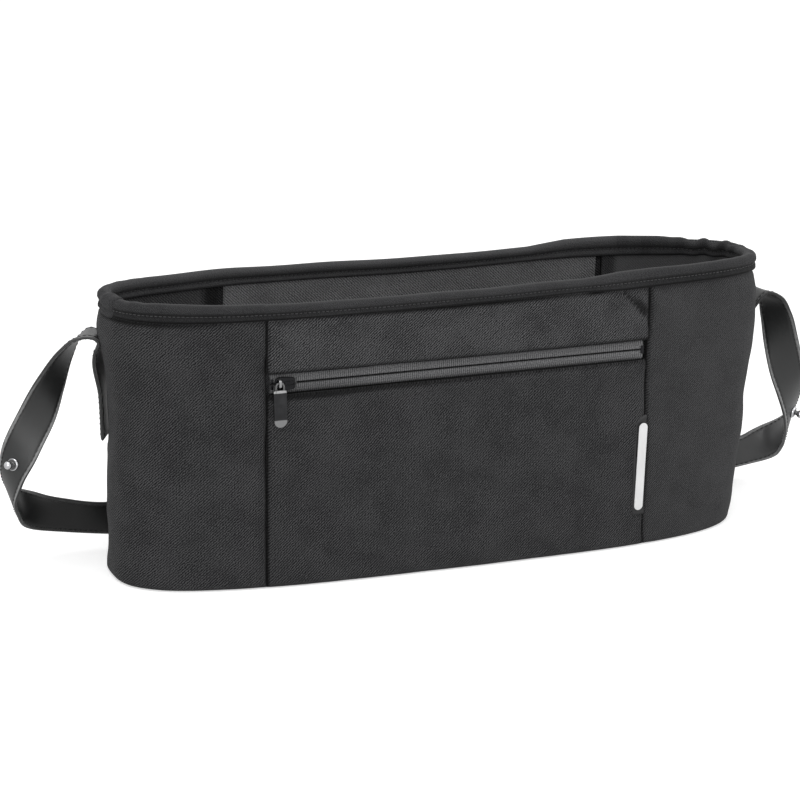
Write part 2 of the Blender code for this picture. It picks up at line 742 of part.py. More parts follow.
def build_label(parts):
    """Rubber tab sewn into the right front seam, with a bare oval plate on it."""
    columns = np.linspace(0.0, 1.0, 5)
    rows = []
    for share in np.linspace(0.0, 1.0, 9):
        x = TAB_LEFT_X + (TAB_RIGHT_X - TAB_LEFT_X) * columns
        top = TAB_TOP_Z + TAB_SLANT * columns
        z = TAB_BOTTOM_Z + (top - TAB_BOTTOM_Z) * share
        y = np.array([float(front_y(np.array(a), b)) for a, b in zip(x, z)]) - CLEARANCE
        rows.append(np.column_stack([x, y, z]))
    tab = grid_object("label_tab", np.array(rows))
    thicken(tab, TAB_THICKNESS, 1)
    place(tab, "label_tab", (RUBBER, 0.0, 0.6), parts)

    centre_z = (PLATE_BOTTOM_Z + PLATE_TOP_Z) / 2
    half = PLATE_WIDTH / 2
    straight = (PLATE_TOP_Z - PLATE_BOTTOM_Z) / 2 - half
    shape = bpy.data.curves.new("label_plate", "CURVE")
    shape.dimensions = "2D"
    shape.fill_mode = "BOTH"
    shape.extrude = PLATE_THICKNESS / 2
    ring = [(half * math.cos(t), straight + half * math.sin(t)) for t in np.linspace(0, math.pi, 11)]
    ring += [(half * math.cos(t), -straight + half * math.sin(t)) for t in np.linspace(math.pi, 2 * math.pi, 11)]
    lean = math.radians(PLATE_LEAN_DEG)
    line = shape.splines.new("POLY")
    line.points.add(len(ring) - 1)
    for knot, (x, y) in zip(line.points, ring):
        knot.co = (x * math.cos(lean) - y * math.sin(lean), x * math.sin(lean) + y * math.cos(lean), 0.0, 1.0)
    line.use_cyclic_u = True
    item = bpy.data.objects.new("label_plate", shape)
    bpy.context.scene.collection.objects.link(item)
    edges = PLATE_CENTRE_X + half * np.array([-1.0, 1.0])
    fronts = [min(float(front_y(np.array(x), z)) for z in (PLATE_BOTTOM_Z, centre_z, PLATE_TOP_Z)) for x in edges]
    turn = math.atan2(fronts[1] - fronts[0], PLATE_WIDTH)
    y = sum(fronts) / 2 - CLEARANCE - TAB_THICKNESS - CLEARANCE - PLATE_THICKNESS / 2
    item.location = (PLATE_CENTRE_X, y, centre_z)
    item.rotation_euler = Euler((math.radians(90), 0.0, turn))
    place(item, "label_plate", (WHITE, 0.0, 0.3), parts)


def smooth(points, knots, wanted):
    """Smooth curve through the rows of an array at their knots, taken at the wanted places."""
    points = np.asarray(points, dtype=float)
    span = np.diff(knots)[:, None]
    slope = np.diff(points, axis=0) / span
    inner = (slope[:-1] * span[1:] + slope[1:] * span[:-1]) / (span[1:] + span[:-1])
    slopes = np.vstack([slope[:1], inner, slope[-1:]])
    index = np.clip(np.searchsorted(knots, wanted, side="right") - 1, 0, len(span) - 1)
    width = span[index]
    t = ((wanted - knots[index])[:, None]) / width
    start = points[index] * (1 + 2 * t) * (1 - t) ** 2 + slopes[index] * width * t * (1 - t) ** 2
    end = points[index + 1] * t ** 2 * (3 - 2 * t) - slopes[index + 1] * width * t ** 2 * (1 - t)
    return start + end


def sewn_point(x_or_y, z, where):
    """Strap's centre and width direction where it is sewn to the outer wall."""
    lift = STRAP_LIFT + STRAP_THICKNESS / 2
    side, way = where.split("_")
    if way == "end":
        run = outline(z, 0, 0, side, DENSE)
        tip = np.argmax(np.abs(run[:, 0]))
        behind = slice(0, tip + 1) if side == "left" else slice(tip, None)
        half = run[behind]
        order = np.argsort(half[:, 1])
        x = np.interp(x_or_y, half[order, 1], half[order, 0])
        nearest = np.argmin(np.abs(run[:, 1] - x_or_y) + 10 * np.abs(run[:, 0] - x))
        normal = outward(run)[nearest]
        centre = np.array([x, x_or_y]) + normal * lift
        across = np.array([-normal[1], normal[0]]) * (1.0 if side == "right" else -1.0)
        return (*centre, z), (*across, 0.0)
    run = outline(z, 0, 0, side, DENSE)
    behind = run[:, 1] > 0
    nearest = np.argmin(np.abs(run[:, 0] - x_or_y) + (~behind) * 1.0)
    normal = outward(run)[nearest]
    centre = run[nearest] + normal * lift
    lean = float(back_y(np.array(x_or_y), z - 0.001) - back_y(np.array(x_or_y), z)) / 0.001
    return (*centre, z), (0.0, lean, -1.0)


def strap_stations(side):
    """All stations of a strap, from its end on the side to its end on the back."""
    way = -1.0 if side == "left" else 1.0
    side_y = STRAP_LEFT_SIDE_Y if side == "left" else STRAP_RIGHT_SIDE_Y
    side_top = STRAP_SIDE_TOP_Z if side == "left" else STRAP_RIGHT_SIDE_TOP_Z
    stations = [sewn_point(side_y, z, f"{side}_end")
                for z in (STRAP_SIDE_BOTTOM_Z, (STRAP_SIDE_BOTTOM_Z + side_top) / 2, side_top)]
    stations += LEFT_FREE_RUN if side == "left" else RIGHT_FREE_RUN
    middle = (STRAP_BACK_INNER_X + STRAP_BACK_OUTER_X) / 2
    stations += [sewn_point(way * x, STRAP_BACK_Z, f"{side}_back")
                 for x in (STRAP_BACK_OUTER_X, middle, STRAP_BACK_INNER_X)]
    return stations


def strap_frame(side, count):
    """Centres, across directions and normals at evenly spaced places along a strap."""
    stations = strap_stations(side)
    route = np.array([s[0] for s in stations])
    knots = np.concatenate([[0.0], np.cumsum(np.linalg.norm(np.diff(route, axis=0), axis=1))])
    wanted = np.linspace(0.0, knots[-1], count)
    centre = smooth(route, knots, wanted)
    across = smooth([s[1] for s in stations], knots, wanted)
    tangent = np.gradient(centre, axis=0)
    tangent /= np.linalg.norm(tangent, axis=1)[:, None]
    across -= np.sum(across * tangent, axis=1)[:, None] * tangent
    across /= np.linalg.norm(across, axis=1)[:, None]
    return centre, across, np.cross(across, tangent)


def build_strap(side, parts):
    """One leather strap: a flat band along its route, with its stud and screw cap."""
    way = -1.0 if side == "left" else 1.0
    centre, across, normal = strap_frame(side, STRAP_STATIONS)
    share = np.linspace(-0.5, 0.5, 5)
    grid = centre[:, None, :] + across[:, None, :] * (share * STRAP_WIDTH)[None, :, None]
    band = grid_object(f"{side}_strap", grid)
    thicken(band, STRAP_THICKNESS, 0)
    place(band, f"{side}_strap", (LEATHER, 0.0, 0.5), parts)

    face = Vector(normal[STUD_STATION] * way)
    seat = Vector(centre[STUD_STATION]) + face * (STRAP_THICKNESS / 2 + STUD_SEAT_GAP)
    neck_top = STUD_FLANGE_THICKNESS + STUD_NECK_LENGTH
    ball_centre = neck_top + math.sqrt(STUD_BALL_RADIUS ** 2 - STUD_NECK_RADIUS ** 2)
    start = math.asin(STUD_NECK_RADIUS / STUD_BALL_RADIUS)
    profile = [(0.0, 0.0), (STUD_FLANGE_RADIUS, 0.0), (STUD_FLANGE_RADIUS, STUD_FLANGE_THICKNESS * 0.6),
               (STUD_FLANGE_RADIUS * 0.9, STUD_FLANGE_THICKNESS), (STUD_NECK_RADIUS, STUD_FLANGE_THICKNESS)]
    profile += [(STUD_BALL_RADIUS * math.sin(t), ball_centre - STUD_BALL_RADIUS * math.cos(t))
                for t in np.linspace(start, math.pi, 8)]
    turned(f"{side}_stud", profile, seat, face, (CHROME, 1.0, 0.15), parts)

    seat = Vector(centre[STUD_STATION]) - face * (STRAP_THICKNESS / 2 + STUD_SEAT_GAP)
    profile = [(0.0, 0.0), (SCREW_RADIUS, 0.0), (SCREW_RADIUS, SCREW_THICKNESS * 0.5),
               (SCREW_RADIUS * 0.85, SCREW_THICKNESS), (0.0, SCREW_THICKNESS)]
    turned(f"{side}_stud_screw", profile, seat, -face, (CHROME, 1.0, 0.2), parts)


def turned(name, profile, seat, axis, look, parts):
    """Return a solid turned from a (radius, height) profile, stood on a seat along an axis."""
    points = [(r, 0.0, h) for r, h in reversed(profile)]
    edges = [(i, i + 1) for i in range(len(points) - 1)]
    mesh = bpy.data.meshes.new(name)
    mesh.from_pydata(points, edges, [])
    item = bpy.data.objects.new(name, mesh)
    bpy.context.scene.collection.objects.link(item)
    spin = item.modifiers.new("turn", "SCREW")
    spin.steps = 20
    spin.render_steps = 20
    spin.use_merge_vertices = True
    spin.merge_threshold = 0.00001
    item.location = seat
    item.rotation_euler = axis.to_track_quat("Z", "Y").to_euler()
    place(item, name, look, parts)
    return item


def main():
    """Build every piece of the organizer."""
    clear_scene()
    parts = make_collection("stroller_organizer")
    cutters = make_collection("cutters")
    build_base(parts)
    build_end_panels(parts)
    build_back_panels(parts)
    build_pocket(parts)
    build_dividers(parts)
    build_binding(parts)
    build_zip(parts)
    build_slider(parts, cutters)
    build_puller(parts)
    build_label(parts)
    for side in ("left", "right"):
        build_strap(side, parts)


main()
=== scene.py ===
"""Looks of the stroller organizer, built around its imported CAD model.

The cloth body, rim binding, zip, label and leather straps are built as numpy grids
on the same outline as the CAD model, and stand in for its solids.
"""
import logging
import math
from dataclasses import dataclass, field
from enum import Enum

import bpy
import numpy as np
from mathutils import Matrix, Vector

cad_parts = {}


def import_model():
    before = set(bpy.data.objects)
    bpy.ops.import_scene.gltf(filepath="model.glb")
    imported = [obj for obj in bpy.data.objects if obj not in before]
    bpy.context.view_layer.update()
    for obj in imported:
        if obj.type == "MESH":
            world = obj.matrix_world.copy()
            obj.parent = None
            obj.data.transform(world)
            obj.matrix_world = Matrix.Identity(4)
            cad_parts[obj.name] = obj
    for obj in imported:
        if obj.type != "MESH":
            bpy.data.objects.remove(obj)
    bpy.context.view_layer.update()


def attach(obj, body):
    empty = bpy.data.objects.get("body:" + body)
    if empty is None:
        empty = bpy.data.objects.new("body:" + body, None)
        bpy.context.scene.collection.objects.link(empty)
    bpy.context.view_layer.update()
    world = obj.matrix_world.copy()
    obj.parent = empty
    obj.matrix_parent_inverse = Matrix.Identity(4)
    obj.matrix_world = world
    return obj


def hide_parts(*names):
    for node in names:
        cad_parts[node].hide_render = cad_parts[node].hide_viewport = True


LOG = logging.getLogger("organizer")
ROOT = "caddy"
TURN = 2 * math.pi
TINY = 1e-12
UPRIGHT = Matrix.Rotation(math.radians(90), 4, "X")

Colour = tuple[float, float, float]
Table = tuple[tuple[float, ...], ...]


class Slot(Enum):
    """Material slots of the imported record."""

    TWILL = "twill"
    LINING = "lining"
    BINDING = "binding"
    TAPE = "zip_tape"
    METAL = "gunmetal"
    RUBBER = "rubber_tab"
    LABEL = "label_white"
    LEATHER = "strap_leather"
    CHROME = "stud_chrome"


# Shader graphs


class Socket:
    """A shader value that can be used in arithmetic."""

    def __init__(self, graph: "Graph", source: bpy.types.NodeSocket) -> None:
        """Wrap an output socket of a graph's node."""
        self.graph = graph
        self.source = source

    def _with(self, operation: str, *others: "Socket | float") -> "Socket":
        """One Math node that starts from this value."""
        return self.graph.math(operation, self, *others)

    def __add__(self, other: "Socket | float") -> "Socket":
        """Sum."""
        return self._with("ADD", other)

    __radd__ = __add__

    def __sub__(self, other: "Socket | float") -> "Socket":
        """Difference."""
        return self._with("SUBTRACT", other)

    def __rsub__(self, other: float) -> "Socket":
        """Difference from a number."""
        return self.graph.math("SUBTRACT", other, self)

    def __mul__(self, other: "Socket | float") -> "Socket":
        """Product."""
        return self._with("MULTIPLY", other)

    __rmul__ = __mul__

    def __truediv__(self, other: "Socket | float") -> "Socket":
        """Quotient."""
        return self._with("DIVIDE", other)

    def __abs__(self) -> "Socket":
        """Size without its sign."""
        return self._with("ABSOLUTE")

    def wave(self) -> "Socket":
        """Sine of full turns, from 0 to 1."""
        return self.graph.math("SINE", self * TURN) * 0.5 + 0.5

    def ramp(self, low: float, high: float) -> "Socket":
        """Smooth step from 0 at low to 1 at high."""
        return self.graph.node("ShaderNodeMapRange", "Result", {"interpolation_type": "SMOOTHSTEP"},
                               {"Value": self, "From Min": low, "From Max": high})


@dataclass
class Graph:
    """A node tree, and the one way to add nodes to it."""

    tree: bpy.types.NodeTree

    def node(self, kind: str, output: str | int, settings: dict[str, object] | None = None,
             sockets: dict[str | int, object] | None = None) -> Socket:
        """Add a node.

        Args:
            kind: the node's type.
            output: name or number of the output that is wanted.
            settings: the node's own settings, which are set first.
            sockets: a value, or a Socket to link, for inputs by name or number.

        Returns:
            The output.
        """
        node = self.tree.nodes.new(kind)
        for key, value in (settings or {}).items():
            setattr(node, key, value)
        for key, value in (sockets or {}).items():
            self.put(node.inputs[key], value)
        return Socket(self, node.outputs[output])

    def put(self, target: bpy.types.NodeSocket, value: object) -> None:
        """Link a value to a socket, or set it as the socket's own value."""
        if isinstance(value, Socket):
            self.tree.links.new(value.source, target)
        else:
            target.default_value = value

    def math(self, operation: str, *values: Socket | float) -> Socket:
        """One Math node."""
        return self.node("ShaderNodeMath", 0, {"operation": operation}, dict(enumerate(values)))


class Finish(Graph):
    """Builds one procedural material."""

    def __init__(self, name: str, **constants: float) -> None:
        """Start a material.

        Args:
            name: the material's name.
            constants: values set on the Principled shader's own sockets, with
                spaces in their names written as underscores.
        """
        self.material = bpy.data.materials.new(name)
        self.material.use_nodes = True
        super().__init__(self.material.node_tree)
        self.shader = self.tree.nodes["Principled BSDF"]
        for key, value in constants.items():
            self.shader.inputs[key.replace("_", " ")].default_value = value

    def uv(self) -> tuple[Socket, Socket, Socket]:
        """UV coordinates, which are in metres on every piece here, and their vector."""
        whole = self.node("ShaderNodeTexCoord", "UV")
        split = self.node("ShaderNodeSeparateXYZ", 0, None, {0: whole})
        return split, Socket(self, split.source.node.outputs[1]), whole

    def place(self) -> Socket:
        """Object coordinates, in metres."""
        return self.node("ShaderNodeTexCoord", "Object")

    def noise(self, vector: Socket, per_metre: float, detail: float = 2.0, rough: float = 0.5) -> Socket:
        """Noise with this many features in a metre, from 0 to 1 around 0.5."""
        return self.node("ShaderNodeTexNoise", "Fac", None,
                         {"Vector": vector, "Scale": per_metre, "Detail": detail, "Roughness": rough})

    def stretch(self, vector: Socket, scale: Colour) -> Socket:
        """Vector with each of its parts scaled."""
        return self.node("ShaderNodeMapping", 0, None, {"Vector": vector, "Scale": scale})

    def cells(self, vector: Socket, per_metre: float) -> Socket:
        """Distance to the nearest cell edge."""
        return self.node("ShaderNodeTexVoronoi", "Distance", {"feature": "DISTANCE_TO_EDGE"},
                         {"Vector": vector, "Scale": per_metre})

    def blend(self, share: Socket | float, first: Socket | Colour, second: Socket | Colour) -> Socket:
        """Mix of two colours, each a socket or linear RGB."""
        ends = [c if isinstance(c, Socket) else (*c, 1.0) for c in (first, second)]
        return self.node("ShaderNodeMix", 2, {"data_type": "RGBA"}, {"Factor": share, 6: ends[0], 7: ends[1]})

    def shaded(self, base: Socket) -> Socket:
        """Base colour with painted shade from the piece's shade attribute above 0, and painted light that makes it
        lighter below 0.
        """
        shade = self.node("ShaderNodeAttribute", "Fac", {"attribute_name": "shade"})
        wear_and_painted_light = self.blend(shade.ramp(0.0, -1.0), base, self.blend(0.5, base, PAINTED_LIGHT_PALE))
        return self.blend(shade.ramp(-0.12, 1.12) * shade.ramp(0.0, 0.02), wear_and_painted_light, SHADE_BLACK)

    def paint(self, base: Socket, roughness: Socket, relief: Socket, depth: float,
              strength: float) -> bpy.types.Material:
        """Link what varies to the shader.

        Args:
            base: base colour.
            roughness: roughness.
            relief: height from 0 to 1 for a bump.
            depth: height of the relief, in metres.
            strength: share of the bump that is used.

        Returns:
            The material.
        """
        bump = self.node("ShaderNodeBump", 0, None, {"Height": relief, "Distance": depth, "Strength": strength})
        for name, value in (("Base Color", base), ("Roughness", roughness), ("Normal", bump)):
            self.put(self.shader.inputs[name], value)
        return self.material


# Colours of the painted light and the painted shade that the shade attribute mixes into a base colour.
PAINTED_LIGHT_PALE = (0.30, 0.30, 0.305)
SHADE_BLACK = (0.0022, 0.0022, 0.0023)


def grey(level: float, cool: float = 0.0) -> Colour:
    """A grey whose blue is higher by cool."""
    return (level, level, level + cool)


def dimmed(colour: Colour, share: float) -> Colour:
    """A colour times a share."""
    return tuple(c * share for c in colour)


@dataclass(frozen=True)
class Twill:
    """Diagonal woven cloth with a slightly mottled yarn.

    Attributes:
        name: the material's name.
        dark: colour between the ridges.
        light: colour on the ridges.
        pitch: distance from ridge to ridge, in metres.
        line_angle: direction of the ridges, in degrees.
        relief: height of the weave, in metres.
        fuzz: weight of the sheen.
        low: weave height that is fully dark.
        high: weave height that is fully light.
        yarn: length of a yarn's float, in ridges.
        wobbles, specks, clouds, patches: features in a metre of each unevenness.
    """

    name: str
    dark: Colour
    light: Colour
    pitch: float = 0.00128
    line_angle: float = 44.0
    relief: float = 0.00026
    fuzz: float = 0.06
    low: float = 0.24
    high: float = 0.84
    yarn: float = 1.9
    wobbles: float = 420.0
    specks: float = 1350.0
    clouds: float = 38.0
    patches: float = 110.0

    def build(self) -> bpy.types.Material:
        """Return the material: ridges cross the UV plane, broken up along their length."""
        graph = Finish(self.name, Sheen_Weight=self.fuzz, Sheen_Roughness=0.45, Specular_IOR_Level=0.12)
        u, v, uv = graph.uv()
        across = math.radians(self.line_angle + 90)
        phase = (u * math.cos(across) + v * math.sin(across)) / self.pitch
        lengthwise = (u * -math.sin(across) + v * math.cos(across)) / (self.pitch * self.yarn)
        wobble = graph.noise(uv, self.wobbles, 2.0) * 1.05
        ridge = (phase + wobble).wave()
        floats = (lengthwise + phase * 0.5 + wobble).wave()
        speck = graph.noise(uv, self.specks, 1.5, 0.7).ramp(0.38, 0.62)
        cloud = graph.noise(uv, self.clouds, 3.0).ramp(0.35, 0.68)
        weave = ridge * 0.54 + floats * 0.12 + speck * 0.36
        patch = graph.noise(uv, self.patches, 2.0).ramp(0.36, 0.64)
        tone = 0.5 + (weave - 0.5) * (patch * 0.9 + 0.55) + (cloud - 0.5) * 0.10
        base = graph.shaded(graph.blend(tone.ramp(self.low, self.high), self.dark, self.light))
        return graph.paint(base, 0.95 - weave * 0.12, weave, self.relief, 0.8)


@dataclass(frozen=True)
class Ribbed:
    """Woven tape with fine ribs across its length, rib metres apart."""

    name: str
    dark: Colour
    light: Colour
    rib: float = 0.00128
    relief: float = 0.00014

    def build(self) -> bpy.types.Material:
        """Return the material: ribs along the first UV axis, crossed by finer threads."""
        graph = Finish(self.name, Sheen_Weight=0.06, Sheen_Roughness=0.4, Specular_IOR_Level=0.2)
        u, v, uv = graph.uv()
        drift = graph.noise(uv, 260.0, 2.0)
        ribs = (u / self.rib + drift * 0.5).wave()
        threads = (v / (self.rib * 0.62) + ribs * 0.5).wave()
        speck = graph.noise(uv, 1300.0, 1.5, 0.7).ramp(0.34, 0.66)
        weave = ribs * 0.45 + threads * 0.2 + speck * 0.35
        base = graph.shaded(graph.blend(weave.ramp(0.1, 0.95), self.dark, self.light))
        return graph.paint(base, 0.9 - weave * 0.15, weave, self.relief, 0.8)


@dataclass(frozen=True)
class Leather:
    """Smooth coated leather with a fine grain, a light edge line that is edge paint brightened as a painted highlight,
    and painted shade in the stitch groove.

    Attributes:
        name: the material's name.
        face: colour of the coat.
        edge: colour of the edge line: edge paint, brightened as a painted highlight.
        half_width: half of the strap's width, in metres.
        roughness: roughness of the coat.
        line_inset: band beside the edge that takes the edge colour.
        groove_inset: band of the groove, inside that line, which takes painted shade.
    """

    name: str
    face: Colour
    edge: Colour
    half_width: float
    roughness: float = 0.36
    line_inset: tuple[float, float] = (0.0022, 0.0015)
    groove_inset: tuple[float, float, float, float] = (0.0016, 0.0022, 0.0034, 0.0026)

    def build(self) -> bpy.types.Material:
        """Return the material; the second UV axis runs across the strap from its middle."""
        graph = Finish(self.name, Coat_Weight=0.12, Coat_Roughness=0.3, Specular_IOR_Level=0.5)
        _, v, uv = graph.uv()
        pores = graph.cells(uv, 1500.0).ramp(0.0, 0.22)
        grain = graph.noise(uv, 900.0, 3.0, 0.6)
        creases = graph.noise(graph.stretch(uv, (0.35, 1.4, 1.0)), 160.0, 3.0)
        relief = pores * 0.5 + grain * 0.3 + creases * 0.35
        inset = self.half_width - abs(v)
        line = inset.ramp(*self.line_inset) * inset.ramp(0.0001, 0.0005)
        groove = inset.ramp(*self.groove_inset[:2]) * inset.ramp(*self.groove_inset[2:])
        tone = graph.noise(uv, 60.0, 3.0).ramp(0.3, 0.7)
        soft = graph.blend(tone * 0.45 + pores * 0.25, dimmed(self.face, 0.72), self.face)
        wear_and_painted_light = graph.noise(graph.stretch(uv, (1.0, 3.0, 1.0)), 300.0, 2.0).ramp(0.25, 0.7)
        # Edge line: edge paint, brightened as a painted highlight and broken up by wear.
        lined = graph.blend(line * (wear_and_painted_light * 0.5 + 0.5), soft, self.edge)
        # Painted shade in the stitch groove.
        base = graph.shaded(graph.blend(groove * 0.8, lined, dimmed(self.face, 0.22)))
        rough = self.roughness + creases * 0.12 + line * 0.06 - pores * 0.04
        return graph.paint(base, rough, relief, 0.00006, 0.5)


@dataclass(frozen=True)
class Metal:
    """Plated metal with very fine wear.

    Attributes:
        name: the material's name.
        colour: colour of the plate.
        roughness: its middle roughness.
        scratch: depth of the wear, in metres.
        painted_light_and_shade: bands of painted highlight and painted shade, each a UV axis, its two ends and a grey
            level.
        soft: half of the width over which a band fades in, in metres.
    """

    name: str
    colour: Colour
    roughness: float
    scratch: float = 0.00001
    painted_light_and_shade: tuple[tuple[str, float, float, float], ...] = ()
    soft: float = 0.0002

    def build(self) -> bpy.types.Material:
        """Return the material, with roughness that varies in fine streaks, and bands of painted highlight and painted
        shade.
        """
        graph = Finish(self.name, Metallic=1.0)
        place = graph.place()
        streak = graph.noise(graph.stretch(place, (1.0, 1.0, 6.0)), 700.0, 3.0)
        cloud = graph.noise(place, 240.0, 2.0)
        base = graph.blend(cloud.ramp(0.3, 0.7), dimmed(self.colour, 0.8), self.colour)
        rough = self.roughness + streak * 0.12 - 0.06
        u, v, _ = graph.uv()
        for axis, low, high, level in self.painted_light_and_shade:
            where = u if axis == "u" else v
            share = where.ramp(low - self.soft, low + self.soft) * where.ramp(high + self.soft, high - self.soft)
            base = graph.blend(share, base, (level, level, level * 1.01))
        return graph.paint(base, rough, streak, self.scratch, 0.5)


@dataclass(frozen=True)
class Moulded:
    """Plain moulded rubber or plastic with a faint texture."""

    name: str
    colour: Colour
    roughness: float
    coat: float = 0.0

    def build(self) -> bpy.types.Material:
        """Return the material."""
        graph = Finish(self.name, Coat_Weight=self.coat, Coat_Roughness=0.1)
        place = graph.place()
        pebble = graph.noise(place, 2600.0, 2.0)
        cloud = graph.noise(place, 90.0, 2.0).ramp(0.3, 0.7)
        base = graph.blend(cloud, dimmed(self.colour, 0.94), self.colour)
        return graph.paint(base, self.roughness + pebble * 0.08, pebble, 0.00002, 0.5)


@dataclass(frozen=True)
class Thread:
    """Twisted sewing thread."""

    name: str
    colour: Colour
    twist: float = 0.00045
    lean: float = 0.0008

    def build(self) -> bpy.types.Material:
        """Return the material, with a twist along the thread."""
        graph = Finish(self.name, Sheen_Weight=0.3, Sheen_Roughness=0.4)
        u, v, _ = graph.uv()
        twist = (u / self.twist + v / self.lean).wave()
        base = graph.blend(twist, dimmed(self.colour, 0.55), self.colour)
        return graph.paint(base, 0.65 + twist * 0.1, twist, 0.00006, 0.8)


# Meshes


def unit(vectors: np.ndarray) -> np.ndarray:
    """Vectors along the last axis, each at length one."""
    return vectors / np.maximum(np.linalg.norm(vectors, axis=-1, keepdims=True), TINY)


def lengths(line: np.ndarray) -> np.ndarray:
    """Length of a line from its start to each of its points."""
    return np.concatenate([[0.0], np.cumsum(np.linalg.norm(np.diff(line, axis=0), axis=1))])


def turns(count: int) -> np.ndarray:
    """Even angles of one full turn."""
    return np.linspace(0, TURN, count + 1)[:-1]


def squircle(angle: np.ndarray, power: float, other: float) -> tuple[np.ndarray, np.ndarray]:
    """Cosine and sine of an angle, each to a power that keeps its sign: a rounded box."""
    x, y = np.cos(angle), np.sin(angle)
    return np.sign(x) * np.abs(x) ** power, np.sign(y) * np.abs(y) ** other


def pairs(first: np.ndarray, second: np.ndarray) -> np.ndarray:
    """Two arrays spread to one grid of UV pairs."""
    return np.stack(np.broadcast_arrays(first, second), axis=-1)


@dataclass
class Surface:
    """A grid of points with UV coordinates in metres.

    Attributes:
        points: array of rows, columns and three coordinates.
        uv: array of rows, columns and two coordinates.
        closed_rows: whether the last row joins the first.
        closed_columns: whether the last column joins the first.
        shade: painted shade of each point, from 0 to 1, and painted light below 0, to -1.
    """

    points: np.ndarray
    uv: np.ndarray
    closed_rows: bool = False
    closed_columns: bool = False
    shade: np.ndarray | None = None

    def quads(self) -> np.ndarray:
        """Corner numbers of the faces."""
        rows, columns = self.points.shape[:2]
        index = np.arange(rows * columns).reshape(rows, columns)
        if self.closed_rows:
            index = np.vstack([index, index[:1]])
        if self.closed_columns:
            index = np.hstack([index, index[:, :1]])
        corner = (index[:-1, :-1], index[:-1, 1:], index[1:, 1:], index[1:, :-1])
        return np.stack([c.reshape(-1) for c in corner], axis=1)


def normals_of(points: np.ndarray) -> np.ndarray:
    """Unit normals of a grid: column direction crossed with row direction."""
    return unit(np.cross(np.gradient(points, axis=1), np.gradient(points, axis=0)))


def mesh_object(name: str, points: np.ndarray, faces: np.ndarray, uv: np.ndarray,
                shade: np.ndarray | None = None) -> bpy.types.Object:
    """Make a smooth mesh object.

    Args:
        name: the object's name.
        points: array of points.
        faces: array of corner numbers, four to a face.
        uv: one UV pair for each point.
        shade: painted shade of each point, from 0 to 1, and painted light below 0, to -1.

    Returns:
        The object, linked to the scene.
    """
    mesh = bpy.data.meshes.new(name)
    mesh.from_pydata(points.tolist(), [], faces.tolist())
    mesh.polygons.foreach_set("use_smooth", np.ones(len(faces), dtype=bool))
    layer = mesh.uv_layers.new(name="UVMap")
    corner = np.empty(len(mesh.loops), dtype=np.int32)
    mesh.loops.foreach_get("vertex_index", corner)
    layer.data.foreach_set("uv", uv[corner].astype(np.float32).ravel())
    if shade is not None:
        dark = mesh.attributes.new("shade", "FLOAT", "POINT")
        dark.data.foreach_set("value", np.clip(shade, -1.0, 1.0).astype(np.float32).ravel())
    mesh.update()
    item = bpy.data.objects.new(name, mesh)
    bpy.context.scene.collection.objects.link(item)
    return item


def object_from(name: str, surface: Surface, extra: np.ndarray | None = None) -> bpy.types.Object:
    """Make an object from a grid, with extra faces between its points."""
    faces = surface.quads() if extra is None else np.concatenate([surface.quads(), extra])
    return mesh_object(name, surface.points.reshape(-1, 3), faces, surface.uv.reshape(-1, 2),
                       None if surface.shade is None else surface.shade.ravel())


def shell(name: str, outer: np.ndarray, inner: np.ndarray, uv: np.ndarray, lip: int = 4,
          shade: np.ndarray | None = None, inner_shade: np.ndarray | None = None) -> bpy.types.Object:
    """Close two facing grids into a padded sheet with rounded top and bottom edges.

    Args:
        name: the object's name.
        outer: grid of the outer face.
        inner: grid of the inner face, with the same shape.
        uv: UV of the outer face; the inner face repeats it.
        lip: rows in each rounded edge.
        shade: painted shade of each point of the outer face; the inner face repeats it.
        inner_shade: the inner face's painted shade instead; below 0 it is painted light.

    Returns:
        The object.
    """

    def edge(row: int, towards: int) -> np.ndarray:
        """Low half ellipse of rows from the outer to the inner face past one end."""
        a, b = outer[row], inner[row]
        middle = (a + b) / 2
        reach = np.linalg.norm(a - b, axis=1, keepdims=True) / 4
        way = unit(outer[row] - outer[towards])
        turn = np.linspace(0, math.pi, lip + 2)[1:-1]
        return np.array([middle + (a - middle) * math.cos(t) + way * reach * math.sin(t) for t in turn])

    def ring(face: np.ndarray, back: np.ndarray) -> np.ndarray:
        """A face's values, its last row for the top edge, the back's, and its first row for the bottom."""
        return np.concatenate([face, np.repeat(face[-1:], lip, axis=0), back[::-1], np.repeat(face[:1], lip, axis=0)])

    rows, columns = outer.shape[:2]
    points = np.concatenate([outer, edge(-1, -2), inner[::-1], edge(0, 1)[::-1]])
    if shade is not None:
        shade = ring(shade, shade if inner_shade is None else inner_shade)
    surface = Surface(points, ring(uv, uv), closed_rows=True, shade=shade)
    total, last = len(points), columns - 1
    partner = (2 * rows + lip - 1 - np.arange(total)) % total
    steps = [(i, i + 1) for i in range(rows + lip // 2 - 1)]
    steps += [(total - i - 1, (total - i) % total) for i in range(lip // 2)]
    caps = []
    for a, b in steps:
        start = np.array([a, b, partner[b], partner[a]]) * columns
        caps += [start, start[::-1] + last]
    return object_from(name, surface, np.array(caps))


def clustered(length: float, step: float, edge: float) -> np.ndarray:
    """Places along a length, dense near both ends and about a step apart between them."""
    near = edge * np.array([0.0, 0.07, 0.15, 0.25, 0.37, 0.52, 0.72])
    middle = np.linspace(edge, length - edge, max(3, int((length - 2 * edge) / step) + 1))
    return np.concatenate([near, middle, (length - near)[::-1]])


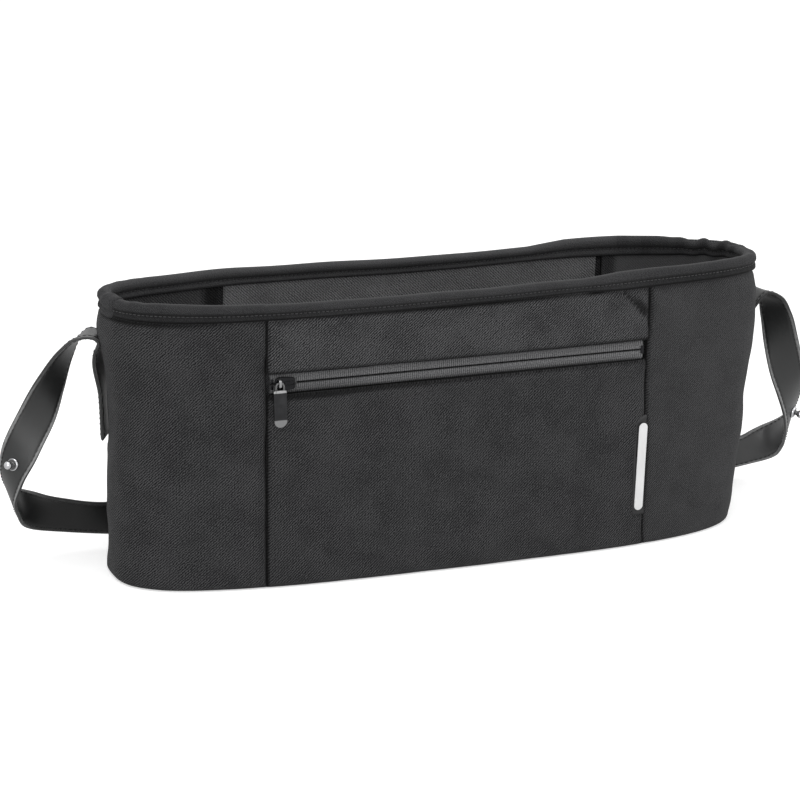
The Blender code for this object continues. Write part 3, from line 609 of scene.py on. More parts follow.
class Ripple:
    """Smooth, repeatable unevenness in two directions."""

    def __init__(self, seed: int, longest: float, shortest: float, count: int = 14, lean: float = 0.0) -> None:
        """Choose the waves.

        Args:
            seed: seed of the choice.
            longest: longest wavelength, in metres.
            shortest: shortest wavelength, in metres.
            count: number of waves.
            lean: share by which waves favour running across the first direction.
        """
        chance = np.random.default_rng(seed)
        length = np.exp(chance.uniform(math.log(shortest), math.log(longest), count))
        angle = chance.uniform(0, math.pi, count) * (1 - lean)
        self.wave = np.stack([np.cos(angle), np.sin(angle)], axis=1) * (TURN / length)[:, None]
        self.phase = chance.uniform(0, TURN, count)
        self.size = length / length.max()
        self.total = np.sqrt(np.sum(self.size ** 2) / 2)

    def at(self, u: np.ndarray, v: np.ndarray | float) -> np.ndarray:
        """Height at u and v, about one in size: the sum of the waves' cosines."""
        height = np.zeros(np.broadcast(u, v).shape)
        for (a, b), phase, size in zip(self.wave, self.phase, self.size):
            height += size * np.cos(a * u + b * v + phase)
        return height / self.total


def bell(distance: np.ndarray, width: float) -> np.ndarray:
    """Smooth bump of height one that falls off over a width."""
    return np.exp(-(distance / width) ** 2)


def step01(value: np.ndarray, low: float, high: float) -> np.ndarray:
    """Smooth step from 0 at low to 1 at high."""
    t = np.clip((value - low) / (high - low), 0.0, 1.0)
    return t * t * (3 - 2 * t)


# The caddy's form


def curve(points: np.ndarray, knots: np.ndarray, wanted: np.ndarray) -> np.ndarray:
    """Smooth curve through points at their knots: a cubic between each two, with shared slopes."""
    span = np.diff(knots)[:, None]
    slope = np.diff(points, axis=0) / span
    inner = (slope[:-1] * span[1:] + slope[1:] * span[:-1]) / (span[1:] + span[:-1])
    slopes = np.vstack([slope[:1], inner, slope[-1:]])
    index = np.clip(np.searchsorted(knots, wanted, side="right") - 1, 0, len(span) - 1)
    width = span[index]
    t = (wanted - knots[index])[:, None] / width
    start = points[index] * (1 + 2 * t) * (1 - t) ** 2 + slopes[index] * width * t * (1 - t) ** 2
    end = points[index + 1] * t ** 2 * (3 - 2 * t) - slopes[index + 1] * width * t ** 2 * (1 - t)
    return start + end


def along(points: np.ndarray, share: np.ndarray) -> np.ndarray:
    """Points of a line at shares of its length."""
    length = lengths(points)
    return np.stack([np.interp(share * length[-1], length, column) for column in points.T], axis=1)


def outward(points: np.ndarray) -> np.ndarray:
    """Unit normals of an anticlockwise line in the XY plane."""
    tangent = unit(np.gradient(points, axis=0))
    return np.stack([tangent[:, 1], -tangent[:, 0]], axis=1)


def closed_normals(points: np.ndarray) -> np.ndarray:
    """Unit normals of a closed anticlockwise line in the XY plane."""
    tangent = unit(np.roll(points, -1, axis=0) - np.roll(points, 1, axis=0))
    return np.stack([tangent[:, 1], -tangent[:, 0]], axis=1)


@dataclass(frozen=True)
class Form:
    """The body's outline, with the same values as the CAD model, in metres.

    Attributes:
        left_reach, right_reach: share of the height, then how far the end's tip stands out there.
        band_table: x, then the share of the binding's plain height along the front and the back.
    """

    half_length: float = 0.200
    height: float = 0.171
    front_base: float = 0.054
    front_top: float = 0.052
    back_base: float = 0.053
    back_top: float = 0.038
    power: float = 3.0
    bottom_radius: float = 0.0028
    back_sag: float = 0.008
    end_sway: float = 0.007
    front_seam: float = 0.120
    back_seam: float = 0.125
    wall: float = 0.0036
    facing: float = 0.0020
    lining: float = 0.0013
    under_crown: float = 0.0015
    zip_z: float = 0.1228
    mouth: float = 0.0136
    flat_z: float = 0.112
    flat_spread: float = 0.022
    flat_share: float = 0.75
    rim_puff: float = 0.0025
    puff_height: float = 0.031
    binding: float = 0.0095
    stitch_up: float = 0.0037
    tape_y: float = -0.04607
    lining_y: float = -0.04227
    dense: int = 361
    behind: tuple[float, float] = (-0.012, 0.014)
    left_reach: Table = ((0.0, 0.0), (0.10, -0.0012), (0.45, -0.0015), (0.70, 0.0), (0.87, 0.0025),
                         (0.95, 0.0012), (1.0, 0.0005))
    right_reach: Table = ((0.0, -0.0050), (0.10, -0.0030), (0.23, 0.0), (0.58, 0.0028), (0.82, 0.0048),
                          (0.92, 0.0030), (1.0, 0.0014))
    band_table: Table = ((-0.21, 1.12, 1.12), (-0.17, 1.08, 1.05), (-0.10, 0.95, 1.0), (0.02, 0.84, 1.0),
                         (0.075, 0.80, 1.0), (0.10, 0.98, 1.05), (0.16, 1.0, 1.15), (0.21, 1.0, 1.1))

    @property
    def top(self) -> float:
        """Height of the panels' upper edges, inside the binding."""
        return self.height - self.under_crown

    def rise(self, z: float) -> float:
        """Share of the height, from 0 to 1."""
        return min(max(z / self.height, 0.0), 1.0)

    def depth(self, x: np.ndarray, depth: float) -> np.ndarray:
        """Depth at x of the rounded outline: one less the share of the length to a power, rooted."""
        share = np.clip(np.abs(x) / self.half_length, 0.0, 1.0)
        return depth * (1.0 - share ** self.power) ** (1.0 / self.power)

    def front(self, x: np.ndarray, z: float) -> np.ndarray:
        """Outer face of the front at x and z."""
        whole = self.front_base + (self.front_top - self.front_base) * self.rise(z)
        bow = self.depth(x, whole)
        seam = self.depth(np.array(self.front_seam), whole)
        swell = 1.0 - self.flat_share * math.exp(-((z - self.flat_z) / self.flat_spread) ** 2)
        puff_share = min(max((z - self.height + self.puff_height) / self.puff_height, 0.0), 1.0)
        puff = self.rim_puff * puff_share * np.clip(1.0 - (np.abs(x) / self.front_seam) ** 2, 0.0, 1.0)
        pocket = seam + (bow - seam) * swell + puff
        return -np.where(np.abs(x) < self.front_seam, pocket, bow) + self.sway(x, z)

    def back(self, x: np.ndarray, z: float) -> np.ndarray:
        """Outer face of the back at x and z."""
        rise = self.rise(z)
        wave = np.cos(np.clip(np.abs(x) / self.back_seam, 0.0, 1.0) * math.pi / 2) ** 2
        bow = self.depth(x, self.back_base + (self.back_top - self.back_base) * rise)
        return bow - self.back_sag * rise ** 2 * wave + self.sway(x, z)

    def sway(self, x: np.ndarray, z: float) -> np.ndarray:
        """Shift of the ends along Y."""
        past = np.clip((np.abs(x) - self.front_seam) / (self.half_length - self.front_seam), 0.0, 1.0)
        return -self.end_sway * np.sign(x) * past ** 2 * self.rise(z)

    def around(self, table: Table, x: np.ndarray, y: np.ndarray) -> np.ndarray:
        """Value of a table at a place on the rim: its second column in front, its third behind."""
        at, front, back = np.array(table).T
        behind = step01(np.asarray(y), *self.behind)
        return np.interp(x, at, front) * (1 - behind) + np.interp(x, at, back) * behind

    def run(self, side: str, z: float) -> np.ndarray:
        """Dense points of the outline at height z along one side, anticlockwise from above."""
        if side == "front":
            x = np.linspace(-self.front_seam, self.front_seam, self.dense)
            return np.stack([x, self.front(x * 0.99999, z)], axis=1)
        if side == "back":
            x = np.linspace(self.back_seam, -self.back_seam, self.dense)
            return np.stack([x, self.back(x, z)], axis=1)
        way, table = (1.0, self.right_reach) if side == "right" else (-1.0, self.left_reach)
        table = np.array(table)
        tip = self.half_length + curve(table[:, 1:], table[:, 0], np.array([self.rise(z)]))[0, 0]
        turn = np.sin(np.linspace(0.0, math.pi / 2, self.dense))
        halves = []
        for seam, face in ((self.front_seam, self.front), (self.back_seam, self.back)):
            y = face(way * (seam + (self.half_length - seam) * turn), z)
            halves.append(np.stack([way * (seam + (tip - seam) * turn), y], axis=1))
        if side == "left":
            halves.reverse()
        return np.concatenate([halves[0], halves[1][::-1][1:]])

    def levels(self, low: float, high: float, step: float) -> list[tuple[float, float]]:
        """Heights and insets of a wall's rows, with the round bottom edge if it has one."""
        rows, radius = [], self.bottom_radius
        if low < radius:
            rows = [(radius * (1 - math.cos(turn)), radius * (1 - math.sin(turn)))
                    for turn in np.linspace(0.0, math.pi / 2, 8)[:-1]]
            low = radius
        near = np.array([0.0, 0.0008, 0.0018, 0.0032])
        middle = np.linspace(low, high - 0.005, max(3, int((high - low) / step)))
        return rows + [(float(z), 0.0) for z in np.concatenate([middle, (high - near)[::-1]])]


@dataclass(frozen=True)
class Sewing:
    """One kind of stitch: its spacing, visible length and thickness in metres, and its finish."""

    pitch: float
    length: float
    thick: float
    finish: str
    slot: Slot


@dataclass
class Workshop:
    """What every builder needs: the form, the finishes and how pieces are handed over."""

    form: Form
    finishes: dict[str, bpy.types.Material]
    made: list[tuple[str, str]] = field(default_factory=list)

    def hand_over(self, item: bpy.types.Object, finish: str, slot: Slot, body: str = ROOT,
                  replaces: tuple[str, ...] = ()) -> None:
        """Give a piece its material, and attach it to its body.

        Args:
            item: the piece.
            finish: name of the finish.
            slot: material slot of the record; not used.
            body: body that the piece moves with.
            replaces: CAD nodes that the piece stands for.
        """
        item.data.materials.clear()
        item.data.materials.append(self.finishes[finish])
        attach(item, body)
        if replaces:
            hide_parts(*replaces)
        self.made.append((item.name, body))

    def stitches(self, name: str, path: np.ndarray, normal: np.ndarray, kind: Sewing, closed: bool = False) -> None:
        """Sew a line of stitches: short threads that dip into the cloth at both ends.

        Each stitch is a tapered six-sided thread of seven rings. Its middle line rises
        from the path like an arch along the normal.

        Args:
            name: the piece's name.
            path: points of the seam line.
            normal: outward direction at each point.
            kind: the stitch.
            closed: whether the line closes on itself.
        """
        rings, sides, thick = 7, 6, kind.thick
        if closed:
            path, normal = np.vstack([path, path[:1]]), np.vstack([normal, normal[:1]])
        reach = lengths(path)
        count = int(reach[-1] / kind.pitch)
        start = (np.arange(count) + 0.5) * reach[-1] / count
        ring = np.linspace(-0.5, 0.5, rings)
        s = start[:, None] + ring[None, :] * kind.length
        at, up = (np.stack([np.interp(s, reach, column) for column in line.T], axis=2) for line in (path, normal))
        up = unit(up)
        side = np.cross(unit(at[:, -1:] - at[:, :1]), up)
        arch = (1 - (2 * ring) ** 2) * thick * 0.8 - thick * 0.3
        middle = at + up * arch[None, :, None]
        girth = thick / 2 * np.sqrt(np.clip(1 - (2 * ring) ** 4, 0.04, 1.0))
        turn = turns(sides)[None, None, :, None]
        circle = np.cos(turn) * side[:, :, None, :] + np.sin(turn) * up[:, :, None, :]
        points = middle[:, :, None, :] + circle * girth[None, :, None, None]
        faces = Surface(points[0], np.zeros((rings, sides, 2)), closed_columns=True).quads()
        faces = (faces[None] + (np.arange(count) * rings * sides)[:, None, None]).reshape(-1, 4)
        uv = pairs(s[:, :, None], (turns(sides) * thick / 2)[None, None, :])
        item = mesh_object(name, points.reshape(-1, 3), faces, uv.reshape(-1, 2))
        self.hand_over(item, kind.finish, kind.slot)


@dataclass
class Builder:
    """A sub-assembly, and the workshop it is made in."""

    shop: Workshop

    @property
    def form(self) -> Form:
        """The body's outline."""
        return self.shop.form


@dataclass
class Panel:
    """A plain wall grid before it is padded.

    Attributes:
        points: the wall's outer face.
        reach: distance of each point from the panel's first seam, in metres.
        length: the panel's length, in metres.
    """

    points: np.ndarray
    reach: np.ndarray
    length: float

    @property
    def near(self) -> np.ndarray:
        """Distance of each point from the nearer side seam."""
        return np.minimum(self.reach, self.length - self.reach)

    def seam(self, depth: float = 0.0019, width: float = 0.0011, roll: float = 0.0010,
             roll_width: float = 0.006) -> np.ndarray:
        """Groove at both side seams, with the padding rolling down towards it."""
        return -depth * bell(self.near, width) - roll * bell(self.near, roll_width)

    def soft(self, seed: int, height: float, longest: float, shortest: float, count: int = 16) -> np.ndarray:
        """Uneven padding over the panel, about height metres high."""
        return height * Ripple(seed, longest, shortest, count).at(self.reach, self.points[..., 2])


def level(line: np.ndarray, z: float) -> np.ndarray:
    """Points of a flat line at height z."""
    return np.column_stack([line, np.full(len(line), z)])


@dataclass
class Body(Builder):
    """Padded cloth panels, lining and dividers.

    Attributes:
        step: distance between a wall's points, in metres.
        edge: length beside a side seam where points stand closer.
        plain: height whose outline gives a wall's length.
        shared: size of the X and Y parts of the normal that two panels share at their seam.
        hold: heights over which bumps fade in above the base.
        covered: heights over which outward bumps fade out under the binding.
        high: heights above which a seam's groove is limited to high_groove.
        spare: heights over which the padding stops giving way behind a groove.
        dents: place along Y and top of the dent under each strap's sewn end.
        fine: longest and shortest wave and number of waves of the fine unevenness.
    """

    step: float = 0.0022
    edge: float = 0.006
    plain: float = 0.06
    shared: tuple[float, float] = (0.107, 0.994)
    hold: tuple[float, float] = (0.0005, 0.010)
    covered: tuple[float, float] = (0.1600, 0.1630)
    high: tuple[float, float] = (0.136, 0.143)
    high_groove: float = -0.0011
    spare: tuple[float, float] = (0.148, 0.157)
    dents: tuple[tuple[str, float, float], ...] = (("left", 0.0195, 0.140), ("right", 0.0080, 0.112))
    fine: tuple[float, float, int] = (0.03, 0.012, 18)

    def wall(self, side: str, low: float, high: float) -> Panel:
        """Grid of a wall's plain outer face between two heights."""
        form = self.form
        base = form.run(side, low if low > form.bottom_radius else self.plain)
        length = float(np.linalg.norm(np.diff(base, axis=0), axis=1).sum())
        share = clustered(length, self.step, self.edge) / length
        rows = []
        for z, inset in form.levels(low, high, self.step * 1.15):
            line = along(form.run(side, z), share)
            rows.append(level(line - outward(line) * inset, z))
        points = np.array(rows)
        return Panel(points, np.broadcast_to(share * length, points.shape[:2]), length)

    def sew(self, name: str, panel: Panel, bumps: np.ndarray, thickness: float, shade: np.ndarray,
            v_shift: float = 0.0, inner_shade: np.ndarray | None = None) -> bpy.types.Object:
        """Turn a plain wall into a padded panel: bumps move it along its normals.

        Args:
            name: the piece's name.
            panel: the wall.
            bumps: how far each point moves outwards, in metres.
            thickness: the panel's thickness.
            shade: painted shade of each point of the outer face.
            v_shift: shift of the weave along the panel's height.
            inner_shade: the same as shade, for the inner face; below 0 it is painted light.

        Returns:
            The object.
        """
        points, near, z = panel.points, panel.near, panel.points[..., 2]
        sides = np.sign(points)
        shared = np.dstack([self.shared[0] * sides[..., 0], self.shared[1] * sides[..., 1], 0 * near])
        joined = (1 - step01(near, 0.0, 0.004))[..., None]
        normal = normals_of(points) * (1 - joined) + shared * joined
        bumps = bumps * (0.15 + 0.85 * step01(z, *self.hold))
        covered = step01(z, *self.covered)
        bumps = bumps * (1 - covered) + np.minimum(bumps, 0.0) * covered
        high = step01(z, *self.high)
        bumps = bumps * (1 - high) + np.maximum(bumps, self.high_groove) * high
        outer = points + normal * bumps[..., None]
        outer[..., 2] = np.maximum(outer[..., 2], 0.0)
        spare = 0.8 * (1 - step01(z, *self.spare))
        inner = points - normal * (thickness - spare * np.minimum(bumps, 0.0))[..., None]
        # Painted shade in the seam grooves, joined with the panel's own painted shade.
        dark = np.maximum(0.9 * bell(near, 0.0008) + 0.25 * bell(near, 0.0026), shade)
        uv = pairs(panel.reach, lengths(points[:, 0])[:, None] + v_shift)
        return shell(name, outer, inner, uv, shade=dark, inner_shade=inner_shade)

    def build(self) -> None:
        """Make every cloth panel."""
        self.ends()
        self.pocket_lower()
        self.pocket_upper()
        self.pocket_lining()
        self.back()
        self.inner_back()
        self.base()
        self.dividers()

    def pad(self, item: bpy.types.Object, finish: str, replaces: str, fill: float = 0.3) -> None:
        """Hand over a padded panel."""
        self.shop.hand_over(item, finish, Slot.TWILL, replaces=(replaces,))

    def ends(self) -> None:
        """Padded panels around the two ends, with painted shadow under the binding, and on the inner face painted
        light that turns to painted shade beside the back seam.
        """
        top = self.form.top
        for side, seed, lit, dusk in (("left", 3, -0.25, 0.95), ("right", 8, -0.45, 0.6)):
            panel = self.wall(side, 0.0, top)
            points, reach, length = panel.points, panel.reach, panel.length
            z = points[..., 2]
            below = top - z
            bumps = panel.soft(seed, 0.0007, 0.11, 0.035) + panel.soft(seed + 20, 0.00012, *self.fine)
            tip = bell(reach - length / 2, 0.05)
            pull = bell(below - 0.014, 0.012)
            pucker = Ripple(seed + 40, 0.016, 0.008, 12, 0.8).at(reach, z * 0.3)
            bumps += 0.0002 * pucker * pull + 0.0005 * tip * pull * Ripple(seed, 0.11, 0.035, 16).at(reach * 2, z)
            bumps += self.rim_puff(below) + panel.seam(0.0026, 0.0012, 0.0012, 0.008)
            bumps -= 0.0010 * self.strap_dent(side, points)
            seam = reach if side == "left" else length - reach
            # Inner face: painted light, turning to painted shade beside the back seam.
            inside = lit + dusk * (1 - step01(seam, 0.005, 0.010))
            item = self.sew(f"{side}_end_cloth", panel, bumps, self.form.wall, self.under_rim(points, below),
                            inner_shade=inside)
            self.pad(item, f"twill_{side}", f"{side}_end_panel")

    @staticmethod
    def rim_puff(below: np.ndarray) -> np.ndarray:
        """Cloth that swells out under the binding's lower edge."""
        return 0.0013 * step01(below, 0.0085, 0.0125) * (1 - step01(below, 0.018, 0.045))

    def under_rim(self, points: np.ndarray, below: np.ndarray) -> np.ndarray:
        """Painted shadow: the thin dark line under the binding's lower edge."""
        form = self.form
        edge = form.binding * form.around(form.band_table, points[..., 0], points[..., 1]) - form.under_crown
        return 1.1 * bell(below - edge - 0.0008, 0.0007)

    def strap_dent(self, side: str, points: np.ndarray) -> np.ndarray:
        """Share of the dent that a strap's sewn end presses into an end's cloth."""
        x, y, z = points[..., 0], points[..., 1], points[..., 2]
        place, top = next(dent[1:] for dent in self.dents if dent[0] == side)
        across = 1 - step01(np.abs(y - place), 0.0105, 0.0130)
        return (np.abs(x) > 0.15) * across * step01(z, 0.074, 0.080) * (1 - step01(z, top - 0.004, top + 0.004))

    def pocket_lower(self) -> None:
        """Panel below the zip, with painted shade at its lip and a soft swell beside the right seam."""
        form = self.form
        top = form.zip_z - form.mouth / 2
        panel = self.wall("front", 0.0, top)
        x, z = panel.points[..., 0], panel.points[..., 2]
        bumps = panel.soft(11, 0.0006, 0.12, 0.04) + panel.soft(12, 0.0001, *self.fine)
        bumps += panel.seam(roll=0.0006)
        lip = top - z
        bumps += -0.0003 * bell(lip, 0.0012) + 0.0008 * bell(lip - 0.004, 0.004)
        bumps += 0.0022 * bell(panel.length - panel.reach - 0.006, 0.006) * bell(z - 0.078, 0.022)
        # Painted shade in the gap under the zip's lower lip, wider and darker towards the left.
        left = 1 - step01(x, -0.10, 0.06)
        shade = (0.42 + 0.38 * left) * (1 - step01(lip / (0.0012 + 0.0020 * left), 0.4, 1.3))
        item = self.sew("pocket_lower_cloth", panel, bumps, form.facing, shade)
        self.pad(item, "twill", "pocket_lower_panel", 0.2)

    def pocket_upper(self) -> None:
        """Panel above the zip, with two creases beside its seams, and painted shade in the creases, beside the right
        crease, along its lower lip and under the binding.

        The puller swings up in front of it, so its bumps end in a soft cap: half of
        what passes the cap, and half of the smoothed size of that, are taken away.
        """
        form = self.form
        low = form.zip_z + form.mouth / 2
        panel = self.wall("front", low, form.top)
        x, z = panel.points[..., 0], panel.points[..., 2]
        bumps = panel.soft(15, 0.0005, 0.09, 0.03, 14) + panel.soft(12, 0.0001, *self.fine)
        bumps += panel.seam(roll=0.0008)
        lip, below = z - low, form.top - z
        bumps += 0.0014 * bell(lip - 0.004, 0.005) - 0.0002 * bell(lip, 0.0010)
        bumps += 0.6 * self.rim_puff(below)
        first = self.fold(x, z, (0.1005, 0.1620), (0.1185, 0.1425), 0.0030, 0.0019, 0.0017)
        second = self.fold(x, z, (-0.1180, 0.1625), (-0.1065, 0.1580), 0.0012, 0.0014, 0.0007)
        bumps += first + second
        cap = 0.0002
        over = bumps - cap - 0.002 * step01(z, 0.1535, 0.1580)
        bumps -= 0.5 * (over + np.sqrt(over ** 2 + cap ** 2))
        # Painted shade: a triangle beside the right crease, the creases' valleys, the lower lip over the zip and the
        # line under the binding.
        dusk = 0.8 * step01(x, 0.1060, 0.1150) * bell(x + z - 0.2655, 0.0035) * step01(z, 0.140, 0.147)
        creased = dusk + 420.0 * np.clip(-first - 0.0006, 0.0, 1.0) + 250.0 * np.clip(-second - 0.0004, 0.0, 1.0)
        shade = np.maximum(self.under_rim(panel.points, below),
                           np.minimum(creased, 0.75) + 0.85 * bell(lip - 0.0002, 0.0010))
        item = self.sew("pocket_upper_cloth", panel, bumps, form.facing, shade, 0.13)
        # The panel takes a lighter copy of the twill, as painted light.
        self.pad(item, "twill_upper_painted_light", "pocket_upper_panel")

    @staticmethod
    def fold(x: np.ndarray, z: np.ndarray, start: tuple[float, float], end: tuple[float, float], depth: float,
             width: float, ridge: float) -> np.ndarray:
        """Crease between two points of the front, with a soft ridge below it.

        Args:
            x, z: places on the front.
            start: x and z of the crease's first end.
            end: x and z of its second end.
            depth: depth of the crease.
            width: its width.
            ridge: height of the ridge.

        Returns:
            How far each place moves outwards.
        """
        a, b = np.array(start), np.array(end)
        span = np.linalg.norm(b - a)
        way = (b - a) / span
        t = (x - a[0]) * way[0] + (z - a[1]) * way[1]
        off = (x - a[0]) * way[1] - (z - a[1]) * way[0]
        ends = step01(t, -0.003, 0.006) * (1 - step01(t, span - 0.006, span + 0.003))
        return ends * (-depth * bell(off, width) + ridge * bell(off - 2.4 * width, width * 1.9))

    def pocket_lining(self) -> None:
        """Cloth behind the pocket, flat low down and brought forward under the binding."""
        form = self.form
        half = form.front_seam - 0.0008
        x = np.linspace(-half, half, 90)
        join = form.height - form.binding - 0.004
        soft = Ripple(31, 0.08, 0.03, 12)
        rows = []
        for z in np.linspace(0.0048, form.height - 0.0016, 60):
            share = step01(np.array(z), join - 0.018, join)
            y = form.lining_y * (1 - share) + (form.front(x, z) + form.facing + 0.0003) * share
            rows.append(level(np.column_stack([x, y + 0.0004 * soft.at(x, z) * (z > 0.14)]), z))
        points = np.array(rows)
        item = shell("pocket_lining_cloth", points, points - normals_of(points) * form.lining,
                     pairs(x + half, points[..., 2]))
        self.shop.hand_over(item, "lining", Slot.LINING, replaces=("pocket_lining",))

    def back(self) -> None:
        """Outer back panel, with painted shadow under the binding."""
        panel = self.wall("back", 0.0, self.form.top)
        below = self.form.top - panel.points[..., 2]
        bumps = panel.soft(51, 0.0008, 0.13, 0.04) + panel.soft(52, 0.00012, *self.fine) + panel.seam()
        bumps += 0.7 * self.rim_puff(below)
        item = self.sew("back_cloth", panel, bumps, self.form.facing, self.under_rim(panel.points, below))
        self.pad(item, "twill", "back_panel")

    def inner_back(self) -> None:
        """Cloth inside the back: a lighter cloth, made lighter still as painted light in the shaded inside."""
        form = self.form
        half = form.front_seam + 0.0003
        x = np.linspace(half, -half, 110)
        soft = Ripple(55, 0.09, 0.03, 14)
        rows = []
        for z in np.linspace(0.016, form.top, 64):
            held = step01(np.array(z), 0.02, 0.06) * (1 - step01(np.array(z), 0.142, 0.156))
            y = form.back(x, z) - form.facing - 0.0006 - np.abs(0.0008 * soft.at(x, z) * held)
            rows.append(level(np.column_stack([x, y]), z))
        points = np.array(rows)
        item = shell("inner_back_cloth", points, points - normals_of(points) * form.lining,
                     pairs(half - x, points[..., 2]))
        self.shop.hand_over(item, "twill_inner", Slot.LINING, replaces=("inner_back_panel",))

    def base(self) -> None:
        """Flat base, slightly crowned between its sewn edges."""
        form, thick, sides = self.form, 0.0036, ("front", "right", "back", "left")
        runs = [along(form.run(side, 0.0), np.linspace(0, 1, 60)[1:-1]) for side in sides]
        edge = np.concatenate([r - outward(r) * (form.bottom_radius + 0.0004) for r in runs])
        centre = edge.mean(axis=0)
        rings = np.linspace(1.0, 0.02, 26)
        inner = 1.0 - rings[:, None]
        flat = centre + (edge - centre)[None] * rings[:, None, None]
        uneven = 0.0002 * Ripple(61, 0.09, 0.03, 12).at(flat[..., 0], flat[..., 1])
        lift = 0.0007 * np.sqrt(np.clip(inner, 0, 1)) + uneven * np.clip(inner * 5, 0, 1)
        lower, upper = (np.dstack([flat, z]) for z in (0.0 + lift, thick - lift))
        points = np.concatenate([lower[::-1], upper])
        item = object_from("base_cloth", Surface(points, points[..., :2].copy(), closed_columns=True))
        self.shop.hand_over(item, "twill", Slot.TWILL, replaces=("base_panel",))

    def dividers(self) -> None:
        """Cloth dividers of the cup spaces, with a hemmed top edge."""
        form, gap = self.form, 0.0004
        radius = form.bottom_radius
        for side, way, seed in (("left", -1.0, 71), ("right", 1.0, 75)):
            x = way * (form.front_seam + 0.0005 + 0.001 + 0.0003)
            soft = Ripple(seed, 0.07, 0.02, 12)
            rows = []
            for z in np.concatenate([np.linspace(0.0045, 0.138, 44), np.linspace(0.139, 0.1448, 8)]):
                inset = form.wall
                if z < radius:
                    inset = radius - math.sqrt(max((radius - form.wall) ** 2 - (radius - z) ** 2, 0.0))
                front = float(form.front(np.array(x), z)) + inset + gap
                back = float(form.back(np.array(x), z)) - inset - gap
                y = np.linspace(front, back, 46)
                hold = np.clip(np.minimum(y - front, back - y) / 0.01, 0, 1)
                rows.append(level(np.column_stack([x + 0.0011 * soft.at(y, z) * hold, y]), z))
            points = np.array(rows)
            below = points[..., 2] - points[-1, 0, 2]
            hem = 0.0004 * (bell(below, 0.005) - 0.8 * bell(below + 0.006, 0.0008))
            half = normals_of(points) * (0.0009 + hem)[..., None]
            item = shell(f"{side}_divider_cloth", points + half, points - half, points[..., 1:].copy())
            self.shop.hand_over(item, "lining", Slot.LINING, replaces=(f"{side}_divider",))


